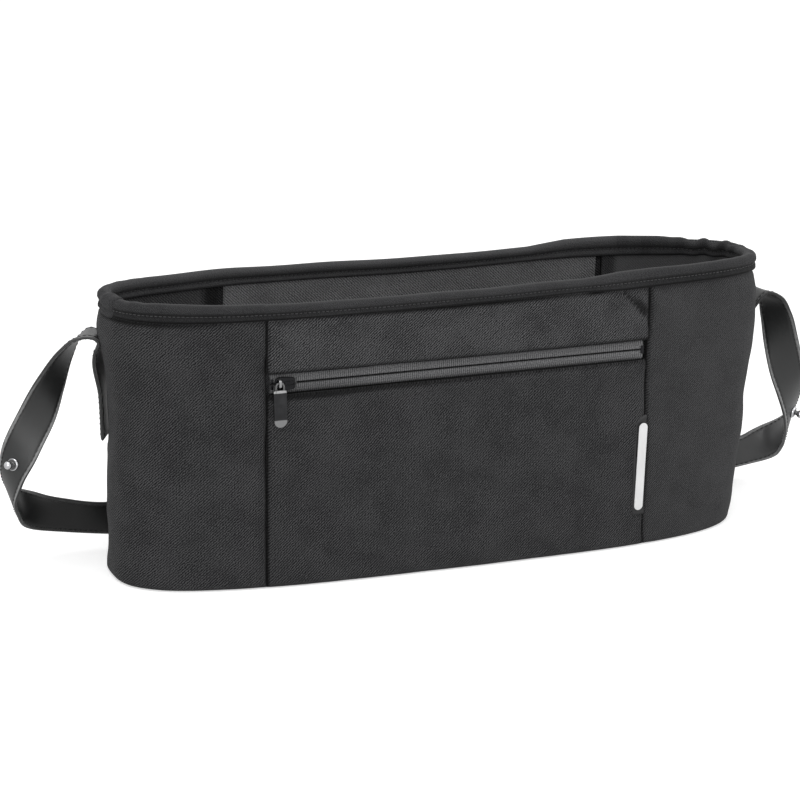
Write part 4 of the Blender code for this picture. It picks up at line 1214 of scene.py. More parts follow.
@dataclass
class Rim(Builder):
    """Folded binding over the rim, its stitches and the overlap of its ends.

    Attributes:
        stations: number of points around the rim.
        shares: each side and its share of them.
        rise_table: x, then the rise of the rim's top along the front and the back, in metres.
        out: how far the binding's faces stand off the wall.
        grip: how far the stitches sink into the binding.
        pucker: distance from one pucker of the stitch line to the next.
        lap: place of the overlap.
        lap_grow: how far it stands off the binding.
        sewing: pitch, length and thickness of its stitches.
    """

    stations: int = 560
    shares: tuple[tuple[str, float], ...] = (("front", 0.27), ("right", 0.23), ("back", 0.27), ("left", 0.23))
    rise_table: Table = ((-0.21, 0.0, 0.0), (-0.17, 0.0006, 0.0006), (-0.10, -0.0004, 0.0), (0.075, 0.0, -0.0005),
                         (0.10, 0.0018, 0.0018), (0.135, 0.0016, 0.0020), (0.16, 0.0012, 0.0012),
                         (0.185, 0.0002, -0.0016), (0.21, -0.0010, -0.0014))
    out: float = 0.0013
    grip: float = 0.0003
    pucker: float = 0.0052
    lap: tuple[float, float] = (-0.2005, -0.0030)
    lap_grow: float = 0.0011
    sewing: tuple[float, float, float] = (0.0026, 0.0018, 0.00042)

    def __post_init__(self) -> None:
        """Lay out the stations, and how far the binding moves up and out at each of them."""
        self.parts = [(side, np.linspace(0, 1, int(self.stations * share) + 1)[:-1]) for side, share in self.shares]
        self.middle = self.line(self.form.height)
        self.reach = lengths(self.middle)
        self.normal = closed_normals(self.middle)
        x, y = self.middle.T
        self.behind = step01(y, *self.form.behind)
        self.gather = Ripple(81, 0.020, 0.009, 12, 0.9).at(self.reach, 0.0)
        wander = Ripple(83, 0.11, 0.04, 10).at(self.reach, 0.0)
        tips = step01(np.abs(x), 0.155, 0.192) * (0.25 + 0.75 * self.behind * (x > 0))
        rise = self.form.around(self.rise_table, x, y)
        self.lift = 0.0003 * wander - 0.0003 + 0.0005 * self.gather * tips + rise
        self.push = 0.0004 * self.gather * tips + 0.0002 * wander
        self.tall = self.form.around(self.form.band_table, x, y)

    def line(self, z: float) -> np.ndarray:
        """Closed outline at height z, the same stations at every height."""
        raw = np.concatenate([along(self.form.run(side, z), share) for side, share in self.parts])
        kernel = np.array([1, 4, 6, 4, 1]) / 16.0
        for _ in range(2):
            padded = np.vstack([raw[-2:], raw, raw[:2]])
            raw = np.stack([np.convolve(column, kernel, mode="valid") for column in padded.T], axis=1)
        return raw

    def profile(self) -> tuple[np.ndarray, np.ndarray]:
        """Outline of the binding: outward distance and height over the rim's top, in metres.

        It runs from the outer lower edge, up, over the rolled top and down inside, and
        back along the lining side, and is pinched at the stitch line.
        """
        form, out = self.form, self.out
        low, stitch, inner = -form.binding, -form.binding + form.stitch_up, -form.wall - self.out
        outer = [(out - 0.0009, low + 0.0001), (out - 0.0001, low), (out + 0.0003, low + 0.0005),
                 (out + 0.0003, low + 0.0016), (out, stitch - 0.0009), (out - 0.0005, stitch),
                 (out - 0.0001, stitch + 0.0006), (out + 0.0006, stitch + 0.0014), (out + 0.0010, -0.0036),
                 (out + 0.0010, -0.0028)]
        middle, half, roll = (out + inner) / 2, (out - inner) / 2 + 0.0010, 0.0026
        quarter = math.pi / 2 - 1e-6
        crown = [(middle + half * math.copysign(abs(math.cos(t)) ** 0.8, quarter - t),
                  -roll + roll * math.sin(t) ** 0.9) for t in np.linspace(0.12, math.pi - 0.12, 13)]
        mirror = [(2 * middle - o, h) for o, h in reversed(outer)]
        inside = [(inner + 0.0012, low + 0.0008), (inner + 0.0012, -0.0035), (out - 0.0012, -0.0035),
                  (out - 0.0012, low + 0.0008)]
        return tuple(np.array([*outer, *crown, *mirror, *inside]).T)

    def build(self) -> None:
        """Make the binding, its two stitch lines and the overlap."""
        form = self.form
        out, high = self.profile()
        pucker = 0.00022 * np.cos(TURN * self.reach / self.pucker)
        rows = []
        for o, h in zip(out, high):
            swell = pucker * math.exp(-((h + form.binding - form.stitch_up) / 0.002) ** 2) * np.sign(o + form.wall / 2)
            xy = self.line(form.height + h) + self.normal * (o + self.push + swell)[:, None]
            top = min((h + form.binding) / form.binding, 1.0)
            rows.append(np.column_stack([xy, form.height + h * self.tall + self.lift * (0.1 + 0.9 * top)]))
        points = np.array(rows)
        uv = pairs(self.reach[None, :], lengths(np.column_stack([out, high]))[:, None])
        surface = Surface(points[::-1], uv[::-1], True, True, self.shade(out, high)[::-1])
        self.shop.hand_over(object_from("rim_binding_cloth", surface), "binding", Slot.BINDING,
                            replaces=("rim_binding",))
        h = -form.binding + form.stitch_up
        for name, finish, o, sign in (("outer", "thread", self.out - self.grip, 1.0),
                                      ("inner", "thread_dark", -form.wall - self.out + self.grip, -1.0)):
            xy = self.line(form.height + h) + self.normal * (o + self.push)[:, None]
            path = np.column_stack([xy, form.height + h * self.tall + self.lift * 0.45])
            self.shop.stitches(f"rim_{name}_stitches", path, level(self.normal * sign, 0.0),
                               Sewing(*self.sewing, finish, Slot.BINDING), closed=True)
        self.overlap(points, out, high)

    def shade(self, out: np.ndarray, high: np.ndarray) -> np.ndarray:
        """Painted shade and painted light of the binding: shade at its folds, stitch line and lower edge, on its outer
        lower band, towards the front's ends and in its gathers behind, and light on its inner face.

        Args:
            out: the profile's outward distances.
            high: the profile's heights.

        Returns:
            Shade of each point of the profile at each station.
        """
        form, x = self.form, self.middle[:, 0]
        outside = out > -form.wall / 2
        groove = bell(high + form.binding - form.stitch_up, 0.0008)
        under = bell(high + form.binding, 0.0007)
        roll = bell(high + 0.0046, 0.0007)
        # Outside: painted shade on the lower band, at the roll's lower fold and along the lower edge. Inside: painted
        # light, with painted shade at the stitch groove and the lower edge.
        front = 0.36 * (1 - step01(high, -0.0050, -0.0040)) + 0.35 * roll + 0.95 * under
        rear = -0.22 + 0.30 * groove + 0.95 * under
        # Painted shade outside towards the front's ends, and inside behind at the right end and in its gathers.
        return np.where(outside, front, rear)[:, None] + np.where(
            outside[:, None], 0.14 * step01(np.abs(x), 0.08, 0.14) * (1 - self.behind),
            (0.30 * step01(x, 0.125, 0.150) + 0.12 * (self.gather > 0.3) * (x > 0.13)) * self.behind)

    def overlap(self, points: np.ndarray, out: np.ndarray, high: np.ndarray) -> None:
        """Folded end of the binding, lapped over its start at the left corner.

        Args:
            points: the binding.
            out: the profile's outward distances.
            high: the profile's heights.
        """
        form = self.form
        nearest = int(np.argmin(np.linalg.norm(self.middle - np.array(self.lap), axis=1)))
        take = np.arange(nearest - 5, nearest + 6) % len(self.middle)
        rows = []
        for o, h in zip(out[:-4], high[:-4]):
            way = unit(np.array([o + form.wall / 2, max(h + 0.0045, -0.0005)])) * self.lap_grow
            xy = self.line(form.height + h)[take] + self.normal[take] * (o + self.push[take] + way[0])[:, None]
            z = form.height + h * self.tall[take] + way[1] * (h > -0.005) + self.lift[take]
            rows.append(np.column_stack([xy, z]))
        outer, inner = np.array(rows), points[:len(rows), take]
        edge = np.minimum(np.arange(len(take)), len(take) - 1 - np.arange(len(take)))
        tuck = 0.75 * np.clip(1 - edge / 1.6, 0, 1)[None, :, None]
        outer = outer * (1 - tuck) + inner * tuck
        uv = pairs(self.reach[take][None, :], lengths(outer[:, 5])[:, None])
        self.shop.hand_over(shell("binding_overlap", outer, inner, uv, 2), "binding", Slot.BINDING)


def slab(name: str, outline: np.ndarray, low: float, high: float, bevel: float,
         hole: np.ndarray | None = None) -> bpy.types.Object:
    """Plate with rounded edges from an outline in its XY plane, and maybe a hole.

    Rings step in by the bevel like a quarter circle.

    Args:
        name: the object's name.
        outline: anticlockwise outline.
        low: the plate's lower face along Z.
        high: its upper face.
        bevel: radius of its edges.
        hole: outline of the hole, with as many points.

    Returns:
        The object.
    """
    profile = [(bevel * (1 - math.sin(t)), low + bevel * (1 - math.cos(t))) for t in np.linspace(0, math.pi / 2, 5)]
    profile += [(inset, high + low - h) for inset, h in reversed(profile)]
    inward = -closed_normals(outline)
    rings = [level(outline + inward * inset, h) for inset, h in profile]
    if hole is None:
        middle = outline.mean(axis=0)
        first, last = rings[0][:, :2], rings[-1][:, :2]
        rings = ([level(middle + (first - middle) * s, low) for s in (0.02, 0.5)] + rings
                 + [level(middle + (last - middle) * s, high) for s in (0.5, 0.02)])
    else:
        away = closed_normals(hole)
        rings += [level(hole + away * inset, h) for inset, h in reversed(profile)]
    points = np.array(rings)
    return object_from(name, Surface(points, points[..., :2].copy(), hole is not None, True))


def stand(item: bpy.types.Object, x: float, y: float, z: float) -> bpy.types.Object:
    """Turn a piece's XY plane to the front and move it to its place."""
    item.data.transform(Matrix.Translation((x, y, z)) @ UPRIGHT)
    return item


def oval(half: float, middle: float, start: float, count: int) -> list[tuple[float, float]]:
    """Half circle of points around (0, middle), from the angle start."""
    return [(half * math.cos(t), middle + half * math.sin(t)) for t in np.linspace(start, start + math.pi, count)]


@dataclass
class Zip(Builder):
    """Tapes with their ribs, coil rows, stops, slider and puller.

    Attributes:
        half: half of the zip's length, in metres.
        pitch: distance from one rib, and one turn of the coil, to the next.
        left, right: the slider's ends at rest.
        plate: thickness of the slider's front plate.
        hang_x, hang_z: the puller's axis: its place along X, and how far it is over the zip.
        hang_out: how far the axis stands before the front plate.
        hang_lean: how far the puller leans out, in degrees.
        puller_half, puller_length: half of its width and its length.
        loop, wire, shoulder: its loop's outer radius, wire and lower end.
    """

    half: float = 0.1175
    pitch: float = 0.00128
    left: float = -0.1150
    right: float = -0.1020
    plate: float = 0.0016
    hang_x: float = -0.1129
    hang_z: float = 0.0015
    hang_out: float = 0.0019
    hang_lean: float = 5.18
    puller_half: float = 0.0039
    puller_length: float = 0.0263
    loop: float = 0.0029
    wire: float = 0.0011
    shoulder: float = 0.0041

    @property
    def front(self) -> float:
        """Y of the front plate's face."""
        return self.form.tape_y - 0.0003 - self.plate

    def build(self) -> None:
        """Make the whole zip."""
        self.tapes()
        self.stops()
        self.slider()
        self.puller()

    def tapes(self) -> None:
        """Both woven tapes: flat, with a raised band of fine ribs beside the slit, and painted shade near the lips,
        along the slit and towards the left end.
        """
        form = self.form
        x = np.arange(-self.half, self.half, 0.00032)
        off = np.concatenate([[0.0005, 0.00055, 0.0007], np.linspace(0.0009, 0.0034, 7),
                              np.linspace(0.0038, form.mouth / 2 + 0.004, 12)])
        ribs = 0.5 + 0.5 * np.cos(TURN * x / self.pitch)
        band = step01(off, 0.0004, 0.0009) * (1 - step01(off, 0.0026, 0.0034))
        lift = band[:, None] * (0.00010 + 0.00018 * ribs[None, :]) - 0.00025 * bell(off - 0.0036, 0.0003)[:, None]
        sunk = 0.0017 * step01(off, 0.0036, 0.0072)[:, None]
        left = 1 - step01(x, -0.10, 0.02)
        for name, way, reach, left_painted_shade in (("upper", 1.0, 0.0042, 0.10), ("lower", -1.0, 0.0050, 0.22)):
            y = form.tape_y - lift + sunk
            z = form.zip_z + way * off
            face = np.dstack([np.broadcast_to(x, y.shape), y, np.broadcast_to(z[:, None], y.shape)])
            back = face.copy()
            back[..., 1] = form.tape_y + 0.0007 + sunk
            uv = pairs(x[None, :], off[:, None])
            # Painted shade: shadow near the lips, darker towards the left end and more on the lower tape, and a dark
            # line along the slit.
            shade = step01(off, reach + 0.0008, 0.0064)[:, None] * (0.8 + 0.15 * left[None, :]) + 0.06
            shade = shade + left_painted_shade * left[None, :] + bell(off - 0.0005, 0.0003)[:, None] * 0.5
            if way < 0:
                face, back, uv, shade = face[::-1], back[::-1], uv[::-1], shade[::-1]
            item = shell(f"zip_{name}_tape", face, back, uv, 2, shade)
            self.shop.hand_over(item, "tape", Slot.TAPE, replaces=(f"zip_tape_{name}",))
            self.coil(name, way)

    def coil(self, name: str, way: float) -> None:
        """Row of the coil behind a tape: a flattened thread wound in even turns."""
        form, thread = self.form, 0.00018
        count = int(2 * self.half / self.pitch)
        t = np.linspace(0, count, count * 10)
        x = -self.half + t * 2 * self.half / count
        z = form.zip_z + way * (0.0016 + 0.0008 * np.cos(TURN * t))
        y = form.tape_y + 0.0016 + 0.0004 * np.sin(TURN * t)
        middle = np.stack([x, y, z], axis=1)
        tangent = unit(np.gradient(middle, axis=0))
        side = unit(np.cross(tangent, np.array([1.0, 0.0, 0.0])))
        up = np.cross(side, tangent)
        turn = turns(5)
        circle = np.cos(turn)[None, :, None] * side[:, None] + np.sin(turn)[None, :, None] * up[:, None]
        uv = pairs(t[:, None] * 0.003, turn[None, :] * 0.0002)
        item = object_from(f"zip_{name}_coil", Surface(middle[:, None] + thread * circle, uv, closed_columns=True))
        self.shop.hand_over(item, "coil", Slot.TAPE, replaces=(f"zip_coil_{name}",))

    def stops(self) -> None:
        """Crimped end stops: rounded boxes."""
        form, power, inset = self.form, 0.45, 0.0009
        for name, x, low, high in (
            ("zip_bottom_stop", self.half - inset, -0.0026, 0.0026),
            ("zip_top_stop_upper", -self.half + inset, 0.0006, 0.0032),
            ("zip_top_stop_lower", -self.half + inset, -0.0032, -0.0006),
        ):
            u = np.linspace(0, math.pi, 13)
            ring = np.sin(u)[:, None] ** power
            across, up = squircle(turns(28), power, power)
            px = x + 0.0009 * ring * across
            pz = form.zip_z + (low + high) / 2 + (high - low) / 2 * ring * up
            bulge = squircle(u, power, power)[0]
            py = np.broadcast_to((form.tape_y - 0.0007 - 0.0004 * bulge)[:, None], px.shape)
            item = object_from(name + "_crimp", Surface(np.dstack([px, py, pz]), pairs(px, pz), closed_columns=True))
            self.shop.hand_over(item, "gunmetal", Slot.METAL, replaces=(name,))

    def slider(self) -> None:
        """Slider: two shaped plates, the post, and the puller's bridge and window."""
        form = self.form
        cx, half = (self.left + self.right) / 2, (self.right - self.left) / 2
        across, up = squircle(turns(96), 0.55, 0.6)
        x = cx + half * across
        outline = np.stack([x - cx, (0.0045 - 0.0009 * (x - self.left) / (self.right - self.left)) * up], axis=1)
        bar = 0.001 * np.array([(-1, -0.3), (1, -0.22), (1, 0.22), (-1, 0.3)])
        rear = form.tape_y + 0.0007 + 0.0006 + 0.0012 + 0.0010
        pieces = [
            stand(slab("slider_front_plate", outline, 0.0, self.plate, 0.0005), cx, self.front + self.plate, form.zip_z),
            stand(slab("slider_rear_plate", outline, 0.0, 0.0010, 0.0003), cx, rear, form.zip_z),
            stand(slab("slider_post", bar, 0.0, 0.0062, 0.0001), self.left + 0.0013, form.tape_y + 0.0042, form.zip_z),
            self.bridge(),
            self.window(cx),
        ]
        self.shop.hand_over(self.merge("zip_slider_body", pieces), "gunmetal", Slot.METAL, "slider", ("zip_slider",))

    def bridge(self) -> bpy.types.Object:
        """Bridge over the puller's top bar: a flat bar bent into a low arch."""
        front = self.front
        axis_z = self.form.zip_z + self.hang_z
        low, high = axis_z - 0.0033, axis_z + 0.0023
        far = front - 0.0037
        path = np.array([(front + 0.0004, low + 0.0005), (front - 0.0012, low + 0.0005), (far + 0.0012, low + 0.0006),
                         (far + 0.0004, low + 0.0013), (far + 0.0004, high - 0.0013), (far + 0.0012, high - 0.0006),
                         (front - 0.0012, high - 0.0005), (front + 0.0004, high - 0.0005)])
        path = along(path, np.linspace(0, 1, 40))
        for _ in range(3):
            path[1:-1] = (path[:-2] + 2 * path[1:-1] + path[2:]) / 4
        wide, deep = squircle(turns(16), 0.5, 0.5)
        yz = path[:, None] - outward(path)[:, None] * (0.00042 * deep)[None, :, None]
        x = np.broadcast_to(self.hang_x + 0.0008 * wide[None, :], yz.shape[:2])
        points = np.dstack([x, yz[..., 0], yz[..., 1]])
        return object_from("slider_bridge", Surface(points, points[..., [0, 2]].copy(), closed_columns=True))

    def window(self, cx: float) -> bpy.types.Object:
        """Raised frame on the plate, where the lock's spring shows."""
        outer = np.stack(squircle(turns(48), 0.5, 0.5), axis=1) * np.array([0.0034, 0.0016])
        ring = slab("slider_window", outer, 0.0, 0.0007, 0.0002, outer * np.array([0.72, 0.5]))
        return stand(ring, cx + 0.0024, self.front + 0.0001, self.form.zip_z)

    @staticmethod
    def merge(name: str, pieces: list[bpy.types.Object]) -> bpy.types.Object:
        """Join several mesh objects that lie in place into one."""
        points, faces, uvs, start = [], [], [], 0
        for piece in pieces:
            mesh = piece.data
            co = np.empty(len(mesh.vertices) * 3, dtype=np.float32)
            mesh.vertices.foreach_get("co", co)
            corner = np.empty(len(mesh.loops), dtype=np.int32)
            mesh.loops.foreach_get("vertex_index", corner)
            uv = np.zeros((len(mesh.vertices), 2), dtype=np.float32)
            flat = np.empty(len(mesh.loops) * 2, dtype=np.float32)
            mesh.uv_layers[0].data.foreach_get("uv", flat)
            uv[corner] = flat.reshape(-1, 2)
            points.append(co.reshape(-1, 3))
            faces.append(corner.reshape(-1, 4) + start)
            uvs.append(uv)
            start += len(mesh.vertices)
            bpy.data.objects.remove(piece)
        return mesh_object(name, np.concatenate(points), np.concatenate(faces), np.concatenate(uvs))

    def puller(self) -> None:
        """Flat puller with a wire loop at its top and a faceted, rounded tip."""
        half, loop, shoulder = self.puller_half, self.loop, self.shoulder
        top, tip, clear = self.wire / 2 - loop, self.puller_length - half, loop - self.wire
        side = [(-loop, -shoulder + 0.0004), (-loop - 0.0003, -shoulder - 0.0003),
                (-half + 0.0002, -shoulder - 0.0007), (-half, -shoulder - 0.0012)]
        outline = self.even(oval(loop, top, 0, 17) + side + oval(half, -tip, math.pi, 23)
                            + [(-x, y) for x, y in reversed(side)])
        hole = self.even(oval(clear, top, 0, 17) + [(-clear, -shoulder), (clear, -shoulder)])
        hole = np.roll(hole, -np.argmin(np.linalg.norm(hole - outline[0] * 0.6, axis=1)), axis=0)
        item = slab("zip_puller_plate", outline, -0.00065, 0.00065, 0.00028, hole)
        self.shape_tip(item, tip)
        move = Matrix.Translation((self.hang_x, self.front - self.hang_out, self.form.zip_z + self.hang_z))
        item.data.transform(move @ Matrix.Rotation(math.radians(90 - self.hang_lean), 4, "X"))
        self.shop.hand_over(item, "puller", Slot.METAL, "puller", ("zip_puller",))

    @staticmethod
    def even(points: list[tuple[float, float]]) -> np.ndarray:
        """A closed outline at 180 even places."""
        return along(np.array([*points, points[0]]), np.linspace(0, 1, 181)[:-1])

    @staticmethod
    def shape_tip(item: bpy.types.Object, tip: float) -> None:
        """Thin the tip on its front face, so that it catches the light as a facet."""
        mesh = item.data
        co = np.empty(len(mesh.vertices) * 3, dtype=np.float32)
        mesh.vertices.foreach_get("co", co)
        co = co.reshape(-1, 3)
        past = np.clip((-co[:, 1] - tip + 0.0006) / 0.0045, 0.0, 1.0)
        co[:, 2] = np.where(co[:, 2] > 0, co[:, 2] - 0.0008 * past, co[:, 2])
        mesh.vertices.foreach_set("co", co.ravel())
        mesh.update()


@dataclass
class Label(Builder):
    """Rubber tab in the seam, with its bare white oval plate.

    Attributes:
        left, right, low, high: the tab's edges.
        slant: how much higher its right top corner is.
        plate_x, plate_low, plate_high, plate_half: the plate's middle, ends and half of its width.
        plate_lean: its turn in the front's plane, in degrees.
    """

    left: float = 0.1110
    right: float = 0.1192
    low: float = 0.0200
    high: float = 0.0790
    slant: float = 0.0040
    plate_x: float = 0.1160
    plate_low: float = 0.0234
    plate_high: float = 0.0783
    plate_half: float = 0.0029
    plate_lean: float = -1.8

    def build(self) -> None:
        """Make the tab and the plate."""
        self.tab()
        self.plate()

    def face(self, x: float, z: float) -> float:
        """Y of the front at one place."""
        return float(self.form.front(np.array(x), z))

    def tab(self) -> None:
        """Rubber tab with a low rim around its edge."""
        u, w = np.linspace(0, 1, 15), np.linspace(0, 1, 70)
        x = self.left + (self.right - self.left) * u
        top = self.high + self.slant * u
        rows = []
        for share in w:
            z = self.low + (top - self.low) * share
            rows.append(np.column_stack([x, [self.face(a, b) for a, b in zip(x, z)], z]))
        points = np.array(rows)
        normal = normals_of(points)
        edge = np.minimum(np.minimum(u[None, :], 1.3 - u[None, :]) * (self.right - self.left),
                          np.minimum(w, 1 - w)[:, None] * (self.high - self.low))
        height = 0.0003 + 0.0011 * np.sqrt(np.clip(edge / 0.0012, 0.0, 1.0))
        outer = points + normal * (height + 0.00035 * bell(edge - 0.0011, 0.0005))[..., None]
        item = shell("label_tab_rubber", outer, points + normal * 0.0002, pairs(points[..., 0], points[..., 2]), 2)
        self.shop.hand_over(item, "rubber", Slot.RUBBER, replaces=("label_tab",))

    def plate(self) -> None:
        """White plate, turned with the front's curve."""
        x, low, high, half = self.plate_x, self.plate_low, self.plate_high, self.plate_half
        straight, middle = (high - low) / 2 - half, (low + high) / 2
        ring = oval(half, straight, 0, 33) + oval(half, -straight, math.pi, 33)
        plate = slab("label_plate_white", np.array(ring), 0.0, 0.0008, 0.0004)
        y = min(self.face(x + s * half, z) for s in (-1, 1) for z in (low, middle, high))
        turn = math.atan2(self.face(x + 0.0025, middle) - self.face(x - 0.0025, middle), 0.005)
        plate.data.transform(Matrix.Translation((x, y - 0.0012, middle)) @ Matrix.Rotation(turn, 4, "Z")
                             @ UPRIGHT @ Matrix.Rotation(math.radians(self.plate_lean), 4, "Z"))
        self.shop.hand_over(plate, "white", Slot.LABEL, replaces=("label_plate",))


LEFT_RUN = (
    ((-0.2006, 0.0200, 0.1402), (0.32, 0.94, 0.00)),
    ((-0.2054, 0.0220, 0.1428), (0.34, 0.94, 0.00)),
    ((-0.2112, 0.0240, 0.1400), (0.40, 0.91, -0.15)),
    ((-0.2190, 0.0240, 0.1310), (0.54, 0.74, -0.40)),
    ((-0.2285, 0.0220, 0.1150), (0.76, 0.38, -0.53)),
    ((-0.2380, 0.0190, 0.0970), (0.84, -0.14, -0.52)),
    ((-0.2480, 0.0175, 0.0790), (0.76, -0.46, -0.46)),
    ((-0.2540, 0.0200, 0.0620), (0.38, -0.86, -0.24)),
    ((-0.2535, 0.0270, 0.0490), (0.10, -0.86, -0.46)),
    ((-0.2470, 0.0360, 0.0385), (0.10, -0.58, -0.78)),
    ((-0.2340, 0.0425, 0.0300), (0.00, -0.05, -1.00)),
    ((-0.2160, 0.0455, 0.0245), (-0.03, 0.18, -0.98)),
    ((-0.1960, 0.0455, 0.0208), (-0.03, 0.25, -0.97)),
    ((-0.1770, 0.0436, 0.0197), (0.00, 0.10, -1.00)),
)
RIGHT_RUN = (
    ((0.2071, 0.0080, 0.1190), (-0.12, 0.99, 0.00)),
    ((0.2140, 0.0080, 0.1310), (-0.10, 0.99, -0.03)),
    ((0.2215, 0.0080, 0.1368), (-0.10, 0.99, -0.04)),
    ((0.2283, 0.0075, 0.1325), (-0.30, 0.94, -0.10)),
    ((0.2335, 0.0070, 0.1200), (-0.58, 0.78, -0.18)),
    ((0.2372, 0.0065, 0.1040), (-0.80, 0.58, -0.20)),
    ((0.2412, 0.0065, 0.0880), (-0.90, 0.24, -0.30)),
    ((0.2460, 0.0080, 0.0720), (-0.84, -0.20, -0.40)),
    ((0.2505, 0.0130, 0.0570), (-0.72, -0.54, -0.40)),
    ((0.2535, 0.0210, 0.0450), (-0.52, -0.62, -0.56)),
    ((0.2540, 0.0300, 0.0355), (-0.32, -0.44, -0.84)),
    ((0.2500, 0.0380, 0.0275), (-0.18, -0.15, -0.97)),
    ((0.2410, 0.0440, 0.0215), (-0.06, 0.10, -0.99)),
    ((0.2260, 0.0465, 0.0176), (0.00, 0.20, -0.98)),
    ((0.2030, 0.0460, 0.0170), (0.00, 0.15, -0.99)),
    ((0.1770, 0.0436, 0.0185), (0.00, 0.10, -1.00)),
)


@dataclass
class Strap(Builder):
    """One leather strap with its stitching, stud and screw cap.

    Attributes:
        side: which end it is on.
        free: centre and width direction of each station of its free run.
        side_y, side_bottom, side_top: place and heights of its sewn outer end.
        width, thick: its section, in metres.
        lift: gap to the wall.
        back_z, back_inner, back_outer: height and span of its sewn rear end.
        stud_share: share of its length where the stud is.
        sewn: distance of the stitches from its edges.
        bite: how far they sink into the leather.
        sewing: thickness of the thread.
        ball, neck, flange: the stud's radii.
    """

    side: str
    free: tuple[tuple[Colour, Colour], ...]
    side_y: float
    side_top: float
    width: float = 0.0220
    thick: float = 0.0022
    lift: float = 0.0009
    side_bottom: float = 0.080
    back_z: float = 0.0195
    back_inner: float = 0.135
    back_outer: float = 0.160
    stud_share: float = 0.5
    sewn: float = 0.0021
    bite: float = 0.0001
    sewing: float = 0.00045
    ball: float = 0.0025
    neck: float = 0.0014
    flange: float = 0.0038

    def __post_init__(self) -> None:
        """Find the strap's route."""
        self.way = -1.0 if self.side == "left" else 1.0
        self.centre, self.across, self.normal, self.reach = self.route(420)

    def on_wall(self, place: float, z: float, where: str) -> tuple[Colour, Colour]:
        """Centre and width direction of the strap where it lies on the wall.

        Args:
            place: Y on an end, or X on the back.
            z: height.
            where: "end" or "back".

        Returns:
            Both, as three numbers each.
        """
        form = self.form
        line = form.run(self.side, z)
        normal = outward(line)
        if where == "end":
            tip = int(np.argmax(np.abs(line[:, 0])))
            behind = np.arange(0, tip + 1) if self.side == "left" else np.arange(tip, len(line))
            index = behind[int(np.argmin(np.abs(line[behind, 1] - place)))]
            across = np.array([-normal[index, 1], normal[index, 0]]) * self.way
        else:
            behind = np.nonzero(line[:, 1] > 0)[0]
            index = behind[int(np.argmin(np.abs(line[behind, 0] - place)))]
            lean = float(form.back(np.array(place), z - 0.001) - form.back(np.array(place), z)) / 0.001
        centre = (*(line[index] + normal[index] * (self.lift + self.thick / 2)), z)
        return centre, ((*across, 0.0) if where == "end" else (0.0, lean, -1.0))

    def route(self, count: int) -> tuple[np.ndarray, np.ndarray, np.ndarray, np.ndarray]:
        """Centres, across directions, face normals and lengths at count places along the strap."""
        middle = (self.side_bottom + self.side_top) / 2
        between = (self.back_inner + self.back_outer) / 2
        stations = [self.on_wall(self.side_y, z, "end") for z in (self.side_bottom, middle, self.side_top)]
        stations += self.free
        stations += [self.on_wall(self.way * x, self.back_z, "back")
                     for x in (self.back_outer, between, self.back_inner)]
        line, turn = (np.array([s[k] for s in stations], dtype=float) for k in (0, 1))
        knots = lengths(line)
        wanted = np.linspace(0, knots[-1], count)
        centre, across = curve(line, knots, wanted), curve(turn, knots, wanted)
        tangent = unit(np.gradient(centre, axis=0))
        across = unit(across - np.sum(across * tangent, axis=1)[:, None] * tangent)
        return centre, across, np.cross(across, tangent) * self.way, lengths(centre)

    def build(self) -> None:
        """Make the band, its stitches and its stud."""
        self.band()
        self.stitching()
        self.stud()

    def band(self) -> None:
        """The leather: a rounded band with a groove at its stitches and rounded ends, with painted shade near its
        upper bend and on the left strap's return, and painted light on the right strap's return.
        """
        half, thick = self.width / 2, self.thick / 2
        wide, deep = squircle(turns(64), 0.22, 0.55)
        wide = wide * half
        inset = half - np.abs(wide)
        groove = 0.00022 * bell(inset - self.sewn, 0.0005)
        crown = 0.0002 * bell(inset - 0.0008, 0.0009)
        height = deep * (thick - groove + crown * 0.5)
        cut = np.minimum(self.reach, self.reach[-1] - self.reach)
        round_end = np.sqrt(np.clip(1 - (1 - np.clip(cut / 0.0012, 0, 1)) ** 2, 0.0, 1.0))
        corner = 1 - 0.10 * (1 - np.clip(cut / 0.004, 0, 1)) ** 2
        centre, across, normal = self.centre[:, None], self.across[:, None], self.normal[:, None]
        points = (centre + across * (wide[None, :] * corner[:, None])[..., None]
                  + normal * (height[None, :] * (0.15 + 0.85 * round_end)[:, None])[..., None])
        points = points - normal * self.pressed(wide[None, :] / half)[..., None]
        uv = pairs(self.reach[:, None], wide + 0.0003 * np.sign(wide) * (1 - np.abs(deep)))
        share = self.reach / self.reach[-1]
        # Painted shade near the upper bend and on the left strap's return; painted light on the right strap's return.
        if self.way < 0:
            shade = 0.86 * step01(share, 0.60, 0.70) + 0.65 * bell(share - 0.31, 0.06)
        else:
            shade = -0.42 * step01(share, 0.35, 0.6) + 0.8 * bell(share - 0.20, 0.09)
        shade = np.broadcast_to(shade[:, None], points.shape[:2])
        start, end = (centre[k] + (points[k] - centre[k]) * 0.02 for k in (0, -1))
        rings = np.concatenate([start[None], points, end[None]])
        uv, shade = (np.concatenate([values[:1], values, values[-1:]]) for values in (uv, shade))
        if self.way < 0:
            rings, uv, shade = rings[::-1], uv[::-1], shade[::-1]
        item = object_from(f"{self.side}_strap_leather", Surface(rings, uv, closed_columns=True, shade=shade))
        self.shop.hand_over(item, "leather", Slot.LEATHER, replaces=(f"{self.side}_strap",))

    def pressed(self, share: np.ndarray | float) -> np.ndarray:
        """How far the sewn end is pressed towards the wall: more at its edges than in its middle."""
        run = self.side_top - self.side_bottom
        flat = 1 - step01(self.reach, run - 0.004, run + 0.016)
        flat = flat[:, None] if np.ndim(share) else flat
        return flat * (0.0007 + 0.0006 * np.square(share)) * (1.0 if self.way < 0 else 0.5)

